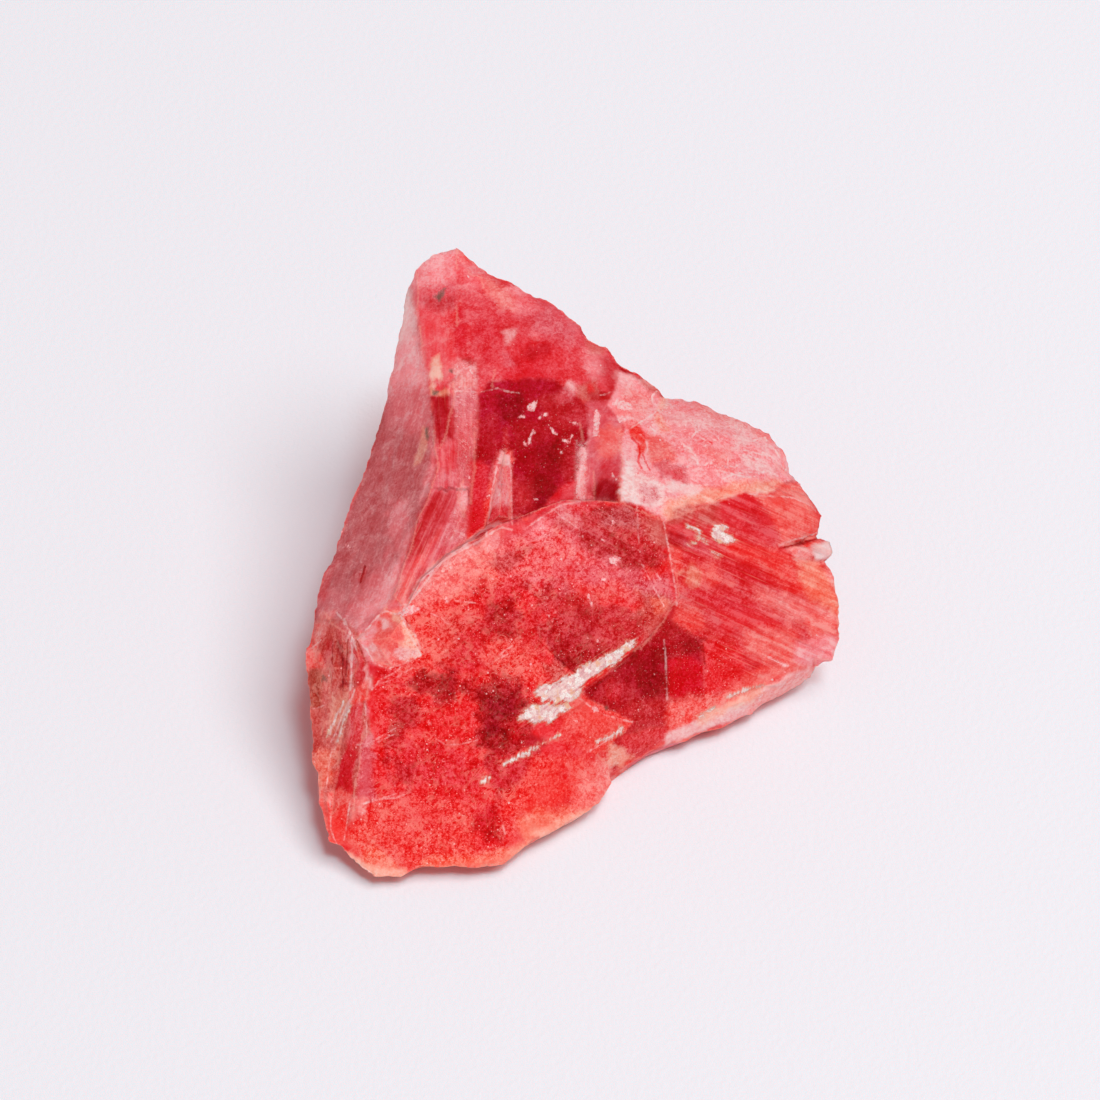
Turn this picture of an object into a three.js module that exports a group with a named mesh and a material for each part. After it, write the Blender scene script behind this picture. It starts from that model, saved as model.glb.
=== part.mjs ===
// Rough rhodonite: one broken, gemmy piece of crystal about 34 x 38 x 20 mm.
//
// It lies on a flat cleavage. A broad slope faces the front, a striated flank the front right, and
// a steep frosted cleavage the left. Behind the crest of the slope lies a bowl with a standing fin,
// and the top rises from there to a peak at the back left.
//
// The surface is a closed skin of named faces. Each face is drawn tight between its corners, then
// bowed and roughened as its kind of break is. Millimetres, +Z up, seat of the stone at z = 0.

import * as THREE from 'three';
import { ImprovedNoise } from 'three/addons/math/ImprovedNoise.js';

// ---------------------------------------------------------------- driving dimensions

const FACET_EDGE = 1.6;         // longest triangle edge
const TIGHTEN_ROUNDS = 40;      // passes that draw a face tight between its edges
const TIGHTEN_STEP = 0.8;       // how far each pass moves a point towards its neighbours' middle
const MOST_TURNS = 20;          // passes that turn thin triangles' edges after each split
const FLAT_PAIR = Math.PI + 0.001;  // two opposite angles over this make an edge worth turning
const ARRIS_FADE = 1.3;         // width beside an arris over which the roughness dies out
const ARRIS_NIBBLE = 0.28;      // how far the arrises wander
const ARRIS_NIBBLE_SIZE = 1.1;  // spacing of those nibbles
const SEAT_CLEARANCE = 0.01;    // points lower than this lie in the flat seat

const LUMP_OCTAVES = 3;         // sizes of lump on one face, each a share as high as the last
const LUMP_SHARE = 0.5;
const LUMP_FINER = 2.1;         // how much closer each size of lump lies than the last
const LUMP_GAIN = 0.96;         // brings the lumps' sum to about -1 to 1
const LEDGE_STEP = 0.25;        // share of a ledge's spacing that its drop takes
const LEDGE_MIDDLE = 0.4;       // keeps a ledged face at its own mean height
const LEDGE_WANDER = 0.8;       // how far the ledges stray, over how long a stretch
const LEDGE_STRETCH = 5;
const FACE_SHIFT = 7.3;         // shift of the noise from one face to the next

// Kinds of broken surface: height and spacing of its lumps, depth of its hollow (negative) or
// swell (positive), and height and spacing of the ledges that run across it.
const FINISH = {
  cleaved: { lump: 0.10, spacing: 4.0, bow: 0, ledge: 0, ledgeSpacing: 1 },
  stepped: { lump: 0.16, spacing: 3.6, bow: 0, ledge: 0.30, ledgeSpacing: 2.4 },
  broken: { lump: 0.34, spacing: 3.2, bow: 0, ledge: 0, ledgeSpacing: 1 },
  scooped: { lump: 0.20, spacing: 4.2, bow: -0.9, ledge: 0, ledgeSpacing: 1 },
  swollen: { lump: 0.18, spacing: 3.4, bow: 0.5, ledge: 0, ledgeSpacing: 1 },
  hackly: { lump: 0.42, spacing: 2.0, bow: 0, ledge: 0.38, ledgeSpacing: 1.9 },
  seat: { lump: 0, spacing: 1, bow: 0, ledge: 0, ledgeSpacing: 1 },
};

// Direction that the ledges of stepped faces follow: the trace of the crystal's cleavage.
const CLEAVAGE = new THREE.Vector3(0.42, 0.55, 0.72).normalize();

const MATERIAL = new THREE.MeshStandardMaterial({ color: 0xc8343c, roughness: 0.45, metalness: 0 });

// ---------------------------------------------------------------- corners, in lines (x, y, z)

const LINES = {
  // lower front edge, from the heel at the left to the toe at the right, with a notch half way
  rim: [
    [-15.3, -16.3, 2.3], [-14.0, -17.2, 1.6], [-12.4, -18.4, 1.3], [-10.7, -18.4, 1.0],
    [-9.6, -17.8, 1.6], [-7.4, -17.8, 1.4], [-4.5, -17.4, 1.2], [-1.7, -15.4, 1.5],
    [1.7, -12.9, 1.5], [2.5, -11.3, 1.8], [2.4, -10.2, 2.2], [3.3, -9.7, 1.4],
    [4.4, -8.7, 1.3], [6.2, -7.9, 1.2], [8.3, -6.8, 1.2], [10.9, -5.6, 1.4],
    [14.2, -3.1, 1.3], [15.6, -2.3, 1.6],
  ],
  // right edge, from the undercut toe up past the knob to the shoulder
  right: [
    [15.7, -2.4, 2.8], [17.0, -2.6, 3.5], [17.3, -1.7, 4.7], [17.3, -1.1, 5.8],
    [17.2, -0.6, 6.8], [16.9, 0.7, 8.2], [16.4, 1.2, 8.9], [16.9, 1.8, 9.3],
    [16.7, 2.2, 9.9], [15.8, 2.3, 10.0], [16.1, 3.3, 11.2], [15.4, 4.0, 11.8],
    [14.4, 4.8, 12.8],
  ],
  // back edge of the top, from the shoulder to the peak at the far left
  back: [
    [13.8, 5.4, 13.2], [13.9, 6.6, 13.6], [12.7, 7.6, 14.2], [10.5, 8.6, 14.8],
    [8.3, 9.3, 15.4], [6.0, 9.3, 15.9], [5.6, 9.7, 16.3], [4.1, 10.2, 16.8],
    [3.0, 10.8, 17.2], [2.3, 12.1, 17.5], [1.2, 12.6, 17.7], [0.0, 14.2, 18.1],
    [-1.7, 15.6, 18.5], [-4.7, 17.0, 19.0], [-6.0, 17.8, 19.3], [-7.4, 18.9, 19.8],
    [-8.4, 18.9, 19.8], [-9.2, 18.4, 19.4], [-10.3, 18.1, 18.8],
  ],
  // left edge, from under the peak down to the heel
  left: [
    [-10.7, 17.3, 17.8], [-11.3, 14.5, 16.3], [-11.9, 10.7, 14.6], [-13.0, 6.7, 13.2],
    [-14.4, 2.9, 11.6], [-15.8, -0.8, 10.0], [-16.4, -3.1, 9.2], [-16.5, -4.8, 8.4],
    [-17.0, -5.6, 7.8], [-16.7, -8.2, 6.3], [-16.5, -10.6, 4.8], [-16.0, -14.1, 3.4],
  ],
  // arris between the frosted left cleavage and the bowl, ending round the lump
  ridge: [
    [-9.7, 12.5, 17.4], [-9.1, 7.9, 17.0], [-8.5, 2.8, 16.4], [-9.2, 0.6, 15.5],
    [-10.2, -2.2, 14.4], [-11.2, -5.2, 13.0], [-12.1, -6.3, 12.2], [-13.5, -7.5, 11.2],
    [-14.4, -6.5, 10.9], [-15.7, -3.9, 9.9],
  ],
  // top of the front slope, from the lump to the frosted patch
  crest: [
    [-10.5, -6.2, 12.9], [-9.2, -4.8, 14.2], [-8.0, -3.6, 14.9], [-5.8, -2.7, 15.7],
    [-4.7, -2.1, 16.2], [-2.7, -1.7, 16.6], [-1.7, -1.1, 16.8], [-0.5, -0.8, 17.0],
    [1.7, -0.6, 16.8], [3.0, -0.4, 16.6], [4.3, -0.6, 15.9],
  ],
  // bottom of the bowl, close behind the crest
  valley: [
    [-9.7, -4.0, 13.4], [-6.6, -1.6, 14.3], [-5.5, -0.9, 14.5], [-4.0, -0.3, 14.6],
    [-1.2, 0.6, 14.8], [0.6, 0.9, 14.8], [1.5, 0.9, 14.9],
  ],
  // left arris of the front slope, and the bevel beside it
  arris: [[-14.3, -10.1, 6.6], [-15.0, -13.3, 3.6]],
  bevel: [[-13.3, -11.7, 7.0], [-13.7, -14.5, 4.5]],
  // lump where ridge, crest and slope meet; the last corner is its top
  lump: [[-12.7, -8.4, 10.7], [-11.4, -9.0, 10.4], [-9.7, -8.3, 11.3], [-11.3, -8.3, 12.4]],
  // arris between the front slope and the flank, down to the ledge of the sunken window
  seam: [
    [5.9, -0.8, 15.0], [6.3, -1.6, 13.2], [6.8, -3.5, 10.9], [5.9, -4.3, 9.6], [5.0, -5.0, 8.5],
  ],
  // broken edge of the slope above the window, its riser's foot, and the crack on to the notch
  ledge: [[1.8, -7.2, 8.7], [0.0, -8.2, 8.2], [-3.2, -10.3, 7.7]],
  riser: [[2.5, -7.3, 7.6], [1.0, -8.3, 7.1], [-1.5, -9.9, 6.8]],
  crack: [[3.8, -8.5, 4.5], [3.1, -9.4, 3.7]],
  // foot of the flank
  sill: [
    [6.2, -5.4, 7.0], [6.4, -7.5, 1.9], [8.2, -6.5, 2.5], [11.2, -5.1, 2.7], [14.1, -3.5, 3.1],
  ],
  // top of the flank, the overhanging lip of the shoulder, and the knob below it
  brow: [[7.5, 0.3, 14.9], [9.4, 1.3, 14.7], [11.0, 2.2, 14.5], [13.6, 3.0, 13.5]],
  lip: [[12.3, 1.3, 12.9], [13.3, 0.7, 11.2]],
  knob: [[14.4, 0.4, 10.0], [15.0, -0.5, 8.2], [15.4, 0.9, 10.7]],
  // plateau to the right of the bowl
  terrace: [[8.1, 1.9, 15.2], [11.0, 3.0, 15.0]],
  patch: [[3.2, 3.4, 16.5], [4.3, 3.7, 16.4], [5.9, 0.5, 15.6]],
  nook: [
    [3.1, 5.2, 16.6], [4.0, 6.2, 16.5], [3.2, 7.2, 16.7], [3.0, 8.1, 17.1], [5.0, 6.4, 16.3],
    [5.9, 3.4, 16.0],
  ],
  // upper edge of the bowl, from the ridge round to the bar at its right end
  bowl: [
    [-6.3, 11.1, 18.2], [-6.0, 8.4, 17.3], [-4.3, 9.0, 17.5], [-0.8, 9.4, 17.3],
    [1.2, 8.3, 17.1], [0.4, 6.4, 16.4], [0.4, 2.4, 15.2], [1.3, 5.1, 16.4],
  ],
  band: [[-7.4, 13.1, 18.6], [-7.6, 7.6, 17.3], [-7.2, 1.5, 15.0], [-6.2, 3.4, 15.3]],
  fin: [[-4.3, 4.5, 16.2], [-4.6, -0.9, 15.5]],
  // half way down the right, back and left sides
  waist: [
    [15.0, 1.8, 4.2], [15.2, 5.2, 8.2], [13.0, 8.2, 8.2], [9.4, 10.6, 9.6],
    [5.2, 11.2, 7.2], [2.6, 14.0, 10.2], [-1.2, 17.6, 9.2], [-5.6, 19.6, 11.8],
    [-10.0, 18.6, 10.4], [-12.2, 13.6, 8.6], [-13.4, 6.8, 7.2], [-15.2, 0.0, 5.8],
    [-16.0, -5.6, 4.4], [-15.6, -11.0, 2.9],
  ],
  // outline of the flat seat, anticlockwise from the heel
  seat: [
    [-13.2, -14.8, 0], [-11.5, -16.8, 0], [-5.0, -16.0, 0], [-0.5, -13.3, 0],
    [1.3, -10.8, 0], [4.8, -7.6, 0], [10.5, -4.5, 0], [13.6, -1.8, 0],
    [13.2, 2.8, 0], [10.6, 6.6, 0], [5.2, 8.4, 0], [1.2, 11.4, 0],
    [-3.5, 15.4, 0], [-8.0, 16.0, 0], [-10.2, 12.0, 0], [-11.6, 5.0, 0],
    [-13.2, -2.5, 0], [-13.9, -9.5, 0],
  ],
};

// ---------------------------------------------------------------- faces, anticlockwise from outside

// Corners first..last of a line; last may be the smaller, and then the line runs backwards.
function run(line, first, last = first) {
  const step = last < first ? -1 : 1;
  const names = [];
  for (let i = first; i !== last + step; i += step) names.push(`${line}${i}`);
  return names;
}

function face(finish, ...runs) {
  return { finish: FINISH[finish], corners: runs.flat() };
}

// Small faces that meet at one raised top.
function fan(finish, top, outline) {
  return outline.map((corner, i) => face(finish, [corner, outline[(i + 1) % outline.length], top]));
}

const frontFaces = [
  // broad front slope
  face('cleaved', run('lump', 1, 0), run('bevel', 0, 1), run('rim', 1, 10), run('crack', 1, 0),
    run('riser', 1, 2), run('ledge', 2, 0), run('seam', 4, 0), run('crest', 10, 0),
    run('lump', 2)),
  // ledge across the slope, and the sunken window under it
  face('cleaved', run('seam', 4), run('ledge', 0, 2), run('riser', 2, 0)),
  face('cleaved', run('seam', 4), run('riser', 0, 1), run('crack', 0, 1), run('rim', 10, 13),
    run('sill', 1, 0), run('seam', 3)),
  // striated flank and the steep skirt at its foot
  face('cleaved', run('seam', 0, 3), run('sill', 0, 4), run('right', 0, 3), run('knob', 1, 0),
    run('lip', 1, 0), run('brow', 2, 0)),
  face('broken', run('sill', 1), run('rim', 13, 17), run('right', 0), run('sill', 4, 2)),
  // shoulder, its bevel and the knob between them
  face('swollen', run('brow', 2), run('lip', 0, 1), run('right', 9, 11), run('brow', 3)),
  face('cleaved', run('knob', 0, 1), run('right', 3, 6)),
  ...fan('cleaved', 'knob2', [...run('lip', 1), ...run('knob', 0), ...run('right', 6, 9)]),
];

const topFaces = [
  // far side of the crest, and the gully between ridge and crest
  face('cleaved', run('crest', 0, 9), run('valley', 6, 0)),
  face('cleaved', run('ridge', 2, 6), run('crest', 0), run('valley', 0, 1), run('band', 2)),
  // bowl on both sides of the fin
  face('cleaved', run('bowl', 1), run('band', 3), run('valley', 1, 2), run('fin', 0), run('bowl', 2)),
  face('cleaved', run('bowl', 2), run('fin', 0), run('valley', 3, 5), run('bowl', 6, 5),
    run('bowl', 3)),
  face('cleaved', run('fin', 0), run('valley', 2), run('fin', 1)),
  face('cleaved', run('fin', 0, 1), run('valley', 3)),
  face('cleaved', run('valley', 2, 3), run('fin', 1)),
  // bands between ridge and bowl
  face('cleaved', run('back', 18), run('ridge', 0, 2), run('band', 1, 0), run('back', 15, 17)),
  face('cleaved', run('band', 0, 1), run('ridge', 2), run('band', 2), run('valley', 1),
    run('band', 3), run('bowl', 1, 0)),
  // rise to the peak, and the block at its right end
  face('swollen', run('band', 0), run('bowl', 0, 4), run('back', 10, 15)),
  face('broken', run('bowl', 4), run('nook', 3), run('back', 8, 10)),
  // bar, coral face and nook at the right end of the bowl
  face('cleaved', run('bowl', 5, 6), run('valley', 5, 6), run('bowl', 7)),
  face('cleaved', run('bowl', 7), run('valley', 6), run('crest', 9), run('patch', 0), run('nook', 0)),
  face('broken', run('bowl', 5), run('bowl', 7), run('nook', 0, 3), run('bowl', 4, 3)),
  face('broken', run('patch', 0, 1), run('nook', 5, 4), run('nook', 1, 0)),
  // plateau: frosted patch, band over the flank, wide pale field and chip
  face('broken', run('crest', 9, 10), run('patch', 2), run('terrace', 0), run('nook', 5),
    run('patch', 1, 0)),
  face('cleaved', run('crest', 10), run('seam', 0), run('brow', 0, 3), run('right', 11, 12),
    run('terrace', 1, 0), run('patch', 2)),
  face('swollen', run('terrace', 0, 1), run('right', 12), run('back', 0, 5), run('nook', 4, 5)),
  face('broken', run('nook', 1), run('nook', 4), run('back', 5, 8), run('nook', 3, 2)),
];

const leftFaces = [
  // frosted cleavage
  face('cleaved', run('back', 18), run('left', 0, 6), run('ridge', 9, 0)),
  // rough end under it, and the bevel beside the front slope
  face('hackly', run('ridge', 7, 9), run('left', 6, 11), run('rim', 0), run('arris', 1, 0)),
  face('broken', run('ridge', 7), run('arris', 0, 1), run('rim', 0, 1), run('bevel', 1, 0),
    run('lump', 0)),
  ...fan('broken', 'lump3', [...run('ridge', 7), ...run('lump', 0, 2), ...run('crest', 0),
    ...run('ridge', 6)]),
  // undercut left side, high and low
  face('scooped', run('waist', 8, 9), run('left', 1, 0), run('back', 18)),
  face('stepped', run('waist', 9, 10), run('left', 3, 1)),
  face('stepped', run('waist', 10, 11), run('left', 5, 3)),
  face('broken', run('waist', 11, 12), run('left', 8, 5)),
  face('hackly', run('waist', 12, 13), run('left', 11, 8)),
  face('broken', run('waist', 8), run('seat', 14), run('waist', 9)),
  face('stepped', run('waist', 9), run('seat', 14, 15), run('waist', 10)),
  face('scooped', run('waist', 10), run('seat', 15, 16), run('waist', 11)),
  face('broken', run('waist', 11), run('seat', 16, 17), run('waist', 12)),
  face('broken', run('waist', 12), run('seat', 17), run('seat', 0), run('waist', 13)),
  face('broken', run('waist', 13), run('seat', 0), run('rim', 0), run('left', 11)),
];

const backFaces = [
  // right side
  face('broken', run('right', 1, 0), run('rim', 17), run('seat', 7, 8), run('waist', 0)),
  face('stepped', run('right', 1), run('waist', 0, 1), run('right', 12, 2)),
  face('scooped', run('waist', 0), run('seat', 8, 9), run('waist', 2, 1)),
  face('broken', run('waist', 1, 2), run('back', 1, 0), run('right', 12)),
  // back, from right to left
  face('stepped', run('waist', 2, 3), run('back', 4, 1)),
  face('broken', run('waist', 2), run('seat', 9, 10), run('waist', 4, 3)),
  face('scooped', run('waist', 3, 5), run('back', 8, 4)),
  face('hackly', run('waist', 4), run('seat', 10, 11), run('waist', 5)),
  face('stepped', run('waist', 5), run('seat', 11, 12), run('waist', 6)),
  face('hackly', run('waist', 5, 6), run('back', 11, 8)),
  face('stepped', run('waist', 6, 7), run('back', 13, 11)),
  face('broken', run('waist', 6), run('seat', 12, 13), run('waist', 7)),
  face('broken', run('waist', 7, 8), run('back', 18, 13)),
  face('scooped', run('waist', 7), run('seat', 13, 14), run('waist', 8)),
];

const underFaces = [
  // narrow faces from the lower front edge in to the seat
  face('broken', run('rim', 0), run('seat', 0, 1), run('rim', 2, 1)),
  face('broken', run('rim', 2), run('seat', 1, 2), run('rim', 6, 3)),
  face('broken', run('rim', 6), run('seat', 2, 3), run('rim', 8, 7)),
  face('broken', run('rim', 8), run('seat', 3, 4), run('rim', 10, 9)),
  face('broken', run('rim', 10), run('seat', 4, 5), run('rim', 12, 11)),
  face('broken', run('rim', 12), run('seat', 5, 6), run('rim', 15, 13)),
  face('broken', run('rim', 15), run('seat', 6, 7), run('rim', 17, 16)),
  // the flat cleavage that the stone lies on
  face('seat', run('seat', 0), run('seat', 17, 1)),
];

const FACES = [...frontFaces, ...topFaces, ...leftFaces, ...backFaces, ...underFaces];

// ---------------------------------------------------------------- skin: points and triangles

function cornerTable() {
  const points = [];
  const index = new Map();
  for (const [line, corners] of Object.entries(LINES)) {
    corners.forEach((corner, i) => {
      index.set(`${line}${i}`, points.length);
      points.push(new THREE.Vector3(...corner));
    });
  }
  return { points, index };
}

// Normal of a corner loop that need not be quite flat (Newell's sum).
function loopNormal(loop) {
  const normal = new THREE.Vector3();
  loop.forEach((corner, i) => {
    const next = loop[(i + 1) % loop.length];
    normal.x += (corner.y - next.y) * (corner.z + next.z);
    normal.y += (corner.z - next.z) * (corner.x + next.x);
    normal.z += (corner.x - next.x) * (corner.y + next.y);
  });
  return normal.normalize();
}

// Fills one face with triangles, looking straight at it.
function fillFace(loop, normal) {
  const side = new THREE.Vector3(normal.y, normal.z, normal.x).cross(normal).normalize();
  const up = new THREE.Vector3().crossVectors(normal, side);
  const flat = loop.map((corner) => new THREE.Vector2(corner.dot(side), corner.dot(up)));
  return THREE.ShapeUtils.triangulateShape(flat, []);
}

const edgeKey = (a, b) => (a < b ? `${a}_${b}` : `${b}_${a}`);

function roughSkin() {
  const { points, index } = cornerTable();
  const triangles = [];
  const arrises = new Set();
  FACES.forEach((entry, faceId) => {
    const ids = entry.corners.map((name) => index.get(name));
    const loop = ids.map((id) => points[id]);
    ids.forEach((id, i) => arrises.add(edgeKey(id, ids[(i + 1) % ids.length])));
    entry.normal = loopNormal(loop);
    for (const [a, b, c] of fillFace(loop, entry.normal)) {
      triangles.push({ ids: [ids[a], ids[b], ids[c]], faceId });
    }
  });
  return { points, triangles, arrises };
}

// An arris is shared by two faces. Any other edge belongs to one face, even where the face
// beyond the arris has an edge between the same two points.
function edgeName(arrises, a, b, faceId) {
  const key = edgeKey(a, b);
  return arrises.has(key) ? key : `${key}_${faceId}`;
}

// Inner edges whose two points are also joined inside another face.
function doubledEdges({ triangles, arrises }) {
  const firstFace = new Map();
  const doubled = new Set();
  for (const { ids, faceId } of triangles) {
    ids.forEach((a, i) => {
      const key = edgeKey(a, ids[(i + 1) % 3]);
      if (arrises.has(key)) return;
      if (!firstFace.has(key)) firstFace.set(key, faceId);
      if (firstFace.get(key) !== faceId) doubled.add(key);
    });
  }
  return doubled;
}

// Halves every edge that is too long or doubled, once, and re-cuts the triangles beside it.
function splitEdges(skin) {
  const { points, triangles, arrises } = skin;
  const doubled = doubledEdges(skin);
  const middles = new Map();
  const halves = [];
  for (const { ids, faceId } of triangles) {
    ids.forEach((a, i) => {
      const b = ids[(i + 1) % 3];
      const name = edgeName(arrises, a, b, faceId);
      const long = points[a].distanceTo(points[b]) > FACET_EDGE;
      if (middles.has(name) || !(long || doubled.has(edgeKey(a, b)))) return;
      middles.set(name, points.length);
      if (name === edgeKey(a, b)) halves.push([a, points.length], [points.length, b]);
      points.push(points[a].clone().lerp(points[b], 0.5));
    });
  }
  skin.triangles = triangles.flatMap((triangle) => cutTriangle(triangle, middles, skin));
  for (const [a, b] of halves) arrises.add(edgeKey(a, b));
  return middles.size > 0;
}

function cutTriangle({ ids, faceId }, middles, { points, arrises }) {
  const ring = [];
  ids.forEach((a, i) => {
    ring.push(a);
    const middle = middles.get(edgeName(arrises, a, ids[(i + 1) % 3], faceId));
    if (middle !== undefined) ring.push(middle);
  });
  const pieces = [];
  while (ring.length > 3) {
    // the shortest new edge goes first, so that the pieces stay well shaped
    const gaps = ring.map((id, i) => {
      const before = ring[(i + ring.length - 1) % ring.length];
      const after = ring[(i + 1) % ring.length];
      const straight = !ids.includes(id) || (ids.includes(before) && ids.includes(after));
      return straight ? Infinity : points[before].distanceTo(points[after]);
    });
    const i = gaps.indexOf(Math.min(...gaps));
    const before = ring[(i + ring.length - 1) % ring.length];
    const after = ring[(i + 1) % ring.length];
    pieces.push({ ids: [before, ring[i], after], faceId });
    ring.splice(i, 1);
  }
  pieces.push({ ids: ring, faceId });
  return pieces;
}

function cornerAngle(points, apex, a, b) {
  const toA = points[a].clone().sub(points[apex]);
  const toB = points[b].clone().sub(points[apex]);
  return toA.angleTo(toB);
}

// Triangles beside each edge, as { triangle, apex } pairs.
function edgeTable({ triangles, arrises }) {
  const table = new Map();
  for (const triangle of triangles) {
    triangle.ids.forEach((a, i) => {
      const name = edgeName(arrises, a, triangle.ids[(i + 1) % 3], triangle.faceId);
      if (!table.has(name)) table.set(name, []);
      table.get(name).push({ triangle, apex: triangle.ids[(i + 2) % 3] });
    });
  }
  return table;
}

// Turns edges inside a face wherever that makes its triangles less thin. Two points that are
// both on arrises are never joined, because the face beyond may join them too.
function turnThinEdges(skin) {
  const { points, arrises } = skin;
  const table = edgeTable(skin);
  const onArris = new Set([...arrises].flatMap((key) => key.split('_').map(Number)));
  const touched = new Set();
  for (const [name, [one, two]] of table) {
    const { faceId } = one.triangle;
    if (two.triangle.faceId !== faceId) continue;
    if (touched.has(one.triangle) || touched.has(two.triangle)) continue;
    if (onArris.has(one.apex) && onArris.has(two.apex)) continue;
    const turned = edgeName(arrises, one.apex, two.apex, faceId);
    if (table.has(turned) || touched.has(turned)) continue;
    const [a, b] = name.split('_').map(Number);
    const opposite = cornerAngle(points, one.apex, a, b) + cornerAngle(points, two.apex, a, b);
    if (opposite <= FLAT_PAIR) continue;
    const start = one.triangle.ids[(one.triangle.ids.indexOf(one.apex) + 1) % 3];
    const end = start === a ? b : a;
    const first = [one.apex, start, two.apex];
    const second = [one.apex, two.apex, end];
    const { normal } = FACES[faceId];
    if (facing(points, first, normal) <= 0 || facing(points, second, normal) <= 0) continue;
    one.triangle.ids = first;
    two.triangle.ids = second;
    touched.add(one.triangle).add(two.triangle).add(turned);
  }
  return touched.size > 0;
}

function triangleCross(points, [a, b, c]) {
  const toB = points[b].clone().sub(points[a]);
  const toC = points[c].clone().sub(points[a]);
  return toB.cross(toC);
}

const facing = (points, ids, normal) => triangleCross(points, ids).dot(normal);

// Faces that meet at each point, and its neighbours.
function surroundings({ points, triangles }) {
  const around = points.map(() => ({ faces: new Set(), neighbours: new Set() }));
  for (const { ids, faceId } of triangles) {
    ids.forEach((a, i) => {
      around[a].faces.add(faceId);
      around[a].neighbours.add(ids[(i + 1) % 3]).add(ids[(i + 2) % 3]);
    });
  }
  return around;
}

// Draws each face tight: its inner points move to the middle of their neighbours.
function tighten(skin, around) {
  for (let round = 0; round < TIGHTEN_ROUNDS; round += 1) {
    skin.points.forEach((point, id) => {
      if (around[id].faces.size > 1) return;
      const middle = new THREE.Vector3();
      for (const other of around[id].neighbours) middle.add(skin.points[other]);
      point.lerp(middle.divideScalar(around[id].neighbours.size), TIGHTEN_STEP);
    });
  }
}

function buildSkin() {
  const skin = roughSkin();
  let uneven = true;
  while (uneven) {
    uneven = splitEdges(skin);
    let thin = true;
    for (let turns = 0; thin && turns < MOST_TURNS; turns += 1) thin = turnThinEdges(skin);
  }
  const around = surroundings(skin);
  tighten(skin, around);
  return { ...skin, around };
}

// ---------------------------------------------------------------- finish: hollows, lumps, ledges

const perlin = new ImprovedNoise();

// Lumps of several sizes, about -1 to 1 high; shift moves them to another part of the noise.
function lumpiness(point, spacing, shift) {
  let height = 0;
  let share = 1;
  let scale = 1 / spacing;
  for (let octave = 0; octave < LUMP_OCTAVES; octave += 1) {
    const { x, y, z } = point.clone().multiplyScalar(scale);
    height += share * perlin.noise(x + shift, y + shift / 3, z - shift / 2);
    share *= LUMP_SHARE;
    scale *= LUMP_FINER;
  }
  return height * LUMP_GAIN;
}

// Distance from each point to the nearest arris, walked along the triangle edges.
function arrisDistance({ points, around }) {
  const distance = points.map((_, id) => (around[id].faces.size > 1 ? 0 : Infinity));
  let queue = [...distance.keys()].filter((id) => distance[id] === 0);
  while (queue.length > 0) {
    const next = new Set();
    for (const id of queue) {
      for (const other of around[id].neighbours) {
        const reach = distance[id] + points[id].distanceTo(points[other]);
        if (reach < distance[other]) {
          distance[other] = reach;
          next.add(other);
        }
      }
    }
    queue = [...next];
  }
  return distance;
}

// Rises slowly over most of its spacing and drops fast at the end, as a cleavage step does.
function ledgeHeight(along, spacing) {
  const turns = along / spacing;
  const part = turns - Math.floor(turns);
  return THREE.MathUtils.smoothstep(part, 1 - LEDGE_STEP, 1) - part;
}

// Height of a face's surface over the drawn-tight one; reach is the distance to its nearest
// arris, and widest the longest such distance on the face.
function relief(point, finish, reach, widest, shift) {
  const edgeFade = THREE.MathUtils.smoothstep(reach, 0, ARRIS_FADE);
  const share = widest > 0 ? Math.min(1, reach / widest) : 0;
  const bow = finish.bow * share * (2 - share);
  const lumps = finish.lump * lumpiness(point, finish.spacing, shift);
  const stray = perlin.noise(point.x / LEDGE_STRETCH, point.y / LEDGE_STRETCH, shift);
  const along = point.dot(CLEAVAGE) + LEDGE_WANDER * stray;
  const ledges = finish.ledge * (ledgeHeight(along, finish.ledgeSpacing) + LEDGE_MIDDLE);
  return bow + edgeFade * (lumps + ledges);
}

function applyFinish(skin) {
  const { points, around } = skin;
  const distance = arrisDistance(skin);
  const widest = FACES.map(() => 0);
  points.forEach((_, id) => {
    for (const faceId of around[id].faces) widest[faceId] = Math.max(widest[faceId], distance[id]);
  });
  const moved = points.map((point, id) => {
    const seated = point.z < SEAT_CLEARANCE;
    if (distance[id] === 0) return nibbled(point, seated);
    if (seated) return point;
    const [faceId] = around[id].faces;
    const { finish, normal } = FACES[faceId];
    const height = relief(point, finish, distance[id], widest[faceId], faceId * FACE_SHIFT);
    return point.clone().addScaledVector(normal, height);
  });
  skin.points = moved;
}

// Shifts a point of an arris a little, so that no arris is ruler straight. The seat stays flat.
function nibbled(point, seated) {
  const { x, y, z } = point.clone().divideScalar(ARRIS_NIBBLE_SIZE);
  const shift = new THREE.Vector3(
    perlin.noise(x, y, z),
    perlin.noise(z + FACE_SHIFT, x, y),
    seated ? 0 : perlin.noise(y, z + FACE_SHIFT, x),
  );
  return point.clone().addScaledVector(shift, ARRIS_NIBBLE);
}

// ---------------------------------------------------------------- stone

// Puts the middle of the outline over the origin, with the seat at z = 0.
function centre(geometry) {
  geometry.computeBoundingBox();
  const middle = geometry.boundingBox.getCenter(new THREE.Vector3());
  geometry.translate(-middle.x, -middle.y, -geometry.boundingBox.min.z);
}

function stoneGeometry() {
  const skin = buildSkin();
  applyFinish(skin);
  const geometry = new THREE.BufferGeometry();
  geometry.setAttribute('position', new THREE.Float32BufferAttribute(
    skin.points.flatMap((point) => point.toArray()),
    3,
  ));
  geometry.setIndex(skin.triangles.flatMap((triangle) => triangle.ids));
  centre(geometry);
  return geometry;
}

const stone = new THREE.Mesh(stoneGeometry(), MATERIAL);
stone.name = 'rhodonite';

const group = new THREE.Group();
group.add(stone);

export default group;
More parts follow.
